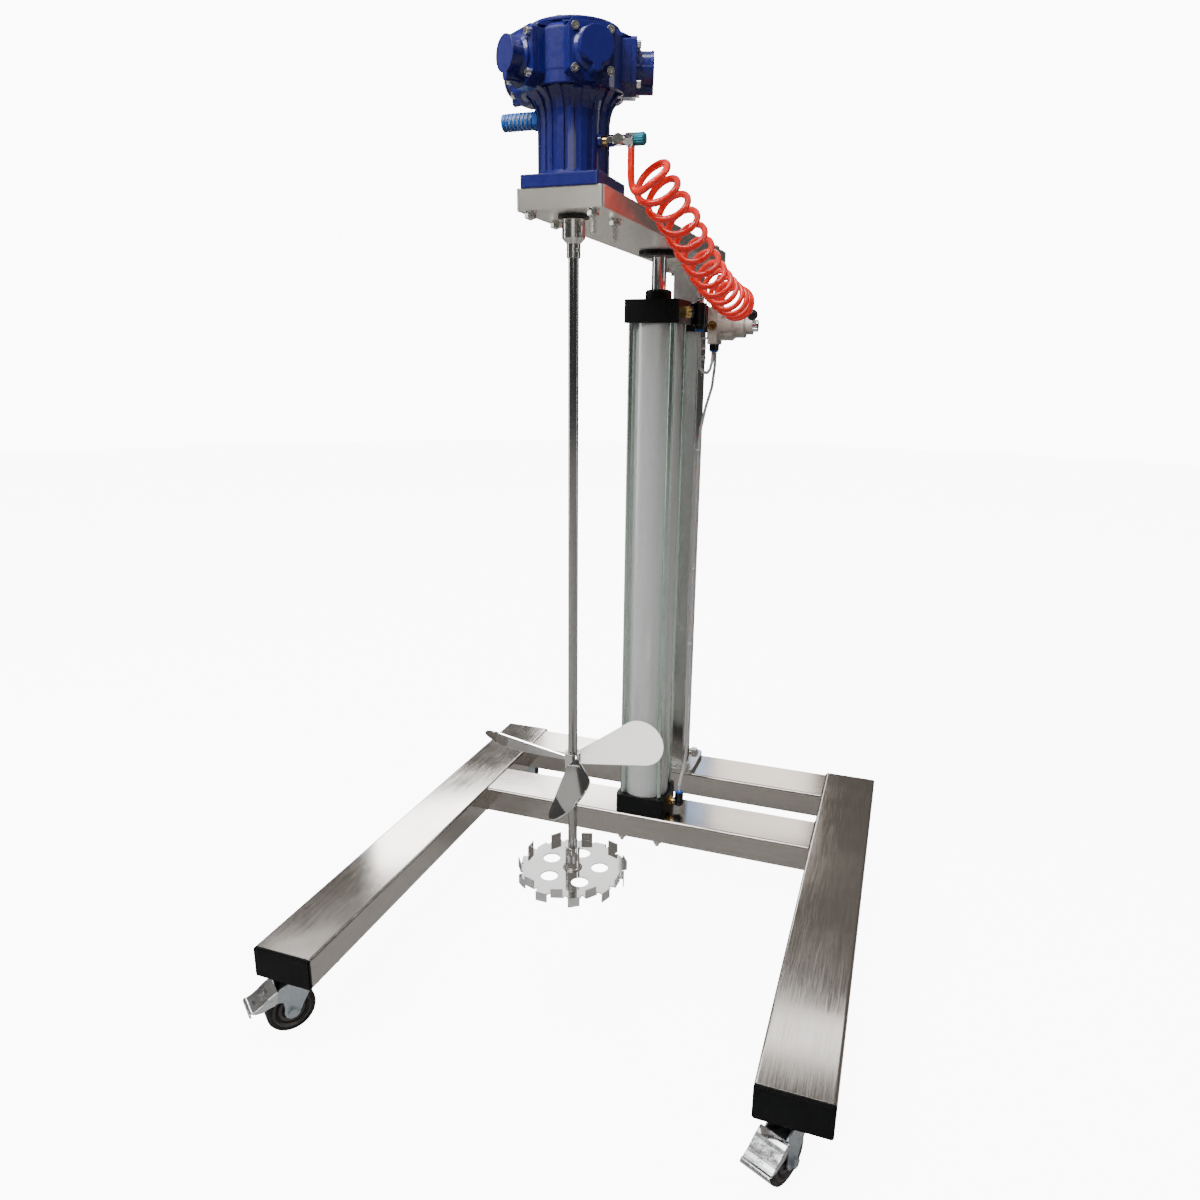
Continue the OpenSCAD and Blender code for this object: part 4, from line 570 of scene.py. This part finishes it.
# %% Caster finishes
casters = {"front_left": (-0.376, -0.395, 233), "front_right": (0.376, -0.395, 246),
           "rear_left": (-0.376, 0.395, 80), "rear_right": (0.376, 0.395, 80)}


for corner, (x, y, angle) in casters.items():
    along = np.array([np.cos(np.radians(angle)), np.sin(np.radians(angle)), 0.0])
    axle = np.array([x, y, 0.0375]) + 0.030 * along
    wheel_finish = finish(corner + "_wheel_black", (0.020, 0.019, 0.018), 0, 0.5, 0.3, 0.08, 500, (1, 1, 1),
                          0.15, 0.0002, 60, 0.001)
    tree = wheel_finish.node_tree
    radius = distance_from_axis(tree, axle, np.cross([0, 0, 1.0], along))
    rings = tree.nodes.new("ShaderNodeValToRGB")
    tree.links.new(remap(tree, radius, 0, 1, 0, 0.0375), rings.inputs[0])
    stops = rings.color_ramp.elements
    stops[0].position, stops[0].color = 0.0, (0.03, 0.03, 0.03, 1)
    stops[1].position, stops[1].color = 1.0, (0.005, 0.005, 0.005, 1)
    for at, grey in ((0.40, 0.01), (0.42, 0.16), (0.52, 0.16), (0.54, 0.008), (0.66, 0.008), (0.68, 0.14),
                     (0.77, 0.14), (0.79, 0.006)):
        stop = stops.new(at)
        stop.color = (grey, grey * 0.93, grey * 0.85, 1)
    tree.links.new(rings.outputs["Color"], tree.nodes["Principled BSDF"].inputs["Base Color"])
    dress(wheel_finish, corner + "_wheel")
fork_zinc = finish("fork_zinc", (0.50, 0.56, 0.60), 0.9, 0.32, 0.12, 0.06, 220, (1, 1, 1), 0.10, 0.0002, 45,
                   0.0006)
pedal_plate = finish("pedal_plate", (0.70, 0.72, 0.74), 1.0, 0.13, 0.06, 0.04, 160, (1, 1, 1), 0.03, 0.0002,
                     40, 0.0016)
dress(fork_zinc, "caster_plates", "front_left_fork", "front_right_fork", "rear_left_fork", "rear_right_fork")
dress(pedal_plate, "front_left_pedal", "front_right_pedal")

# %% [markdown]
# ## Words pressed into the brake pedals
# Each pedal is a bent plate. The word OFF stands on its upper slope and ON near the lip, in low raised
# letters. A text curve is turned into a mesh, scaled to the real width and laid on the slope: its first
# direction runs across the pedal, its second up the slope.

# %% Pedal letters
# The letters are painted much darker than the pedal's steel: painted shade that makes the low relief read.
letter_painted_shade = finish("letter_painted_shade", (0.10, 0.10, 0.11), 0.8, 0.35, 0.1, 0.05, 900, (1, 1, 1), 0.05,
                      0.0001, 40)


def raised_word(name, word, width, middle, across, up_slope, body):
    """Flat letters of that width that stand 0.5 mm proud, with their middle at a point of the slope."""
    curve = bpy.data.curves.new(name, "FONT")
    curve.body, curve.align_x, curve.align_y, curve.extrude = word, "CENTER", "CENTER", 0.02
    holder = bpy.data.objects.new(name, curve)
    bpy.context.scene.collection.objects.link(holder)
    mesh = bpy.data.meshes.new_from_object(holder.evaluated_get(bpy.context.evaluated_depsgraph_get()))
    bpy.data.objects.remove(holder)
    flat = np.empty(len(mesh.vertices) * 3)
    mesh.vertices.foreach_get("co", flat)
    flat = flat.reshape(-1, 3)
    flat[:, :2] -= (flat[:, :2].max(axis=0) + flat[:, :2].min(axis=0)) / 2
    scale = width / np.ptp(flat[:, 0])
    outward = np.cross(across, up_slope)
    placed = (middle + scale * flat[:, :1] * across + scale * flat[:, 1:2] * up_slope
              + np.sign(flat[:, 2:]) * 0.0005 * outward)
    mesh.vertices.foreach_set("co", placed.ravel())
    mesh.materials.clear()
    piece = new_piece(name, mesh, body, letter_painted_shade, smooth=False)
    print(f"{name}: {1000 * width:.0f} mm wide, {len(mesh.polygons)} faces")
    return piece


for corner in ("front_left", "front_right"):
    x, y, angle = casters[corner]
    along = np.array([np.cos(np.radians(angle)), np.sin(np.radians(angle)), 0.0])
    across = np.cross([0, 0, 1.0], along)
    pin = np.array([x, y, 0.068]) + 0.059 * along
    for word, wide, (reach, rise), (back, lift) in (("OFF", 0.011, (5, 9), (-8, 5.5)),
                                                    ("ON", 0.009, (23, -2.7), (-8, 3.8))):
        up_slope = (back * along + lift * np.array([0, 0, 1.0])) / np.hypot(back, lift)
        middle = pin + (reach * along + rise * np.array([0, 0, 1.0])) / 1000
        raised_word(corner + "_" + word.lower(), word, wide, middle, across, up_slope, corner + "_pedal")

# %% [markdown]
# ## Studs that hold the motor
# Four threaded studs are screwed into the motor's base plate, so nothing shows above it. Each passes
# through the arm and carries a washer and a hexagon nut below. All of it is one surface: at each height,
# the distance from the axis as a function of the angle. On the nut that distance is the flat's distance
# over the cosine of the angle from the flat's middle, held under the nut's chamfer cone.

# %% Motor studs
turn = np.linspace(0, 2 * np.pi, 48, endpoint=False)
flat_angle = (turn + np.pi / 6) % (np.pi / 3) - np.pi / 6


def stud_grid(x, y, arm_bottom, top, tail):
    """Rings from the stud's lower end to its top. The thread's radius is 3.8 mm less a cosine
    ripple of 0.28 mm that is 1.25 mm long, and the sizes here are in millimetres."""
    rows = [(-tail, 2.6)]
    rows += [(z, 3.8 - 0.28 * np.cos(2 * np.pi * z / 1.25)) for z in np.arange(1.2 - tail, -8.6, 0.21)]
    rows += [(-8.6, 4.0), (-8.5, 4.0)]
    nut = [(-8.5, 5.9), (-8.0, 7.0), (-7.6, 9.0), (-2.9, 9.0), (-2.5, 7.0), (-2.0, 5.9)]
    rows += nut + [(-2.0, 8.4), (-0.1, 8.5), (0.0, 8.3), (0.0, 4.0), (1000 * (top - arm_bottom), 4.0)]
    height, size = np.array(rows).T
    hexagon = np.isin(size, [9.0, 7.0, 5.9])[:, None]
    out = np.where(hexagon, np.minimum(6.5 / np.cos(flat_angle)[None, :], size[:, None]),
                   size[:, None]) / 1000
    return np.stack([x + out * np.cos(turn), y + out * np.sin(turn),
                     arm_bottom + height[:, None] / 1000 + 0 * out], axis=-1)


low, high = (np.array(corner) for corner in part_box("motor_mount_bolts"))
middle, half_pitch = (low + high) / 2, (high[0] - low[0] - 0.017) / 2
shell = bmesh.new()
for side in (-1, 1):
    for end in (-1, 1):
        part = grid_mesh("stud", stud_grid(middle[0] + side * half_pitch, middle[1] + end * half_pitch,
                                           low[2] + 0.028, high[2] - 0.006, 28 if side > 0 else 10))
        shell.from_mesh(part)
        bpy.data.meshes.remove(part)
bmesh.ops.recalc_face_normals(shell, faces=shell.faces)
studs_mesh = bpy.data.meshes.new("motor_studs")
shell.to_mesh(studs_mesh)
shell.free()
studs = new_piece("motor_studs", studs_mesh, "lift", bolt_zinc, smooth=False)
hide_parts("motor_mount_bolts")
print("studs", len(studs_mesh.polygons), "faces, pitch", round(2000 * half_pitch, 1), "mm")

# %% [markdown]
# ## Weld seams
# The frame is welded. A seam is a flat ripple, darker than the ground steel and tinted by the heat, that
# fills the corner where two pieces meet. Each is a thin tube along the joint whose radius swells with
# every dab of the torch, 1.6 mm apart.

# %% Weld seams
weld_steel = finish("weld_steel", (0.30, 0.27, 0.25), 1.0, 0.30, 0.25, 0.10, 700, (1, 1, 1), 0.30, 0.0003, 30)
bead_step, dab_length = 0.0005, 0.0016


def weld(name, corners, radius, body, closed=False):
    """A rippled bead along straight runs between corners, given in metres."""
    line = np.array(corners + corners[:1] if closed else corners, float)
    line = even_steps(line, max(24, int(length_along(line)[-1] / bead_step)))
    s = length_along(line)
    swell = radius * (1 + 0.16 * np.abs(np.sin(np.pi * s / dab_length))
                      + 0.08 * np.sin(s * 310) * np.sin(s * 97))
    new_piece(name, grid_mesh(name, tube(line, swell, 8)), body, weld_steel)


rails_inside = {"left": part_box("left_side_rail")[1][0], "right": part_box("right_side_rail")[0][0]}
for which in ("front", "rear"):
    low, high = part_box(which + "_cross_rail")
    for side, x in rails_inside.items():
        weld(f"{which}_{side}_seam", [(x, low[1], low[2]), (x, low[1], high[2]), (x, high[1], high[2]),
                                      (x, high[1], low[2])], 0.0011, "stand")
low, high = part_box("guide_post")
weld("post_seam", [(low[0], low[1], low[2]), (high[0], low[1], low[2]), (high[0], high[1], low[2]),
                   (low[0], high[1], low[2])], 0.0018, "stand", closed=True)

shaft_low, shaft_high = (np.array(corner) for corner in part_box("mixer_shaft"))
hub_x, hub_y = (shaft_low[:2] + shaft_high[:2]) / 2
hub_ring, hub_top = 0.0136, 0.2514
ring_turn = np.linspace(0, 2 * np.pi, 61)[:-1]
ring = np.stack([hub_x + hub_ring * np.cos(ring_turn), hub_y + hub_ring * np.sin(ring_turn),
                 hub_top + 0 * ring_turn], axis=-1)
weld("disc_hub_seam", ring.tolist(), 0.0012, "spindle", closed=True)

# %% [markdown]
# ## The dressed model's size
# The box round every shown piece of the dressed model, without the stage, is printed. The looks may
# not grow the machine.

# %% Print the visual box
low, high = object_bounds()
print("visual box", [round(v, 4) for v in low], [round(v, 4) for v in high])
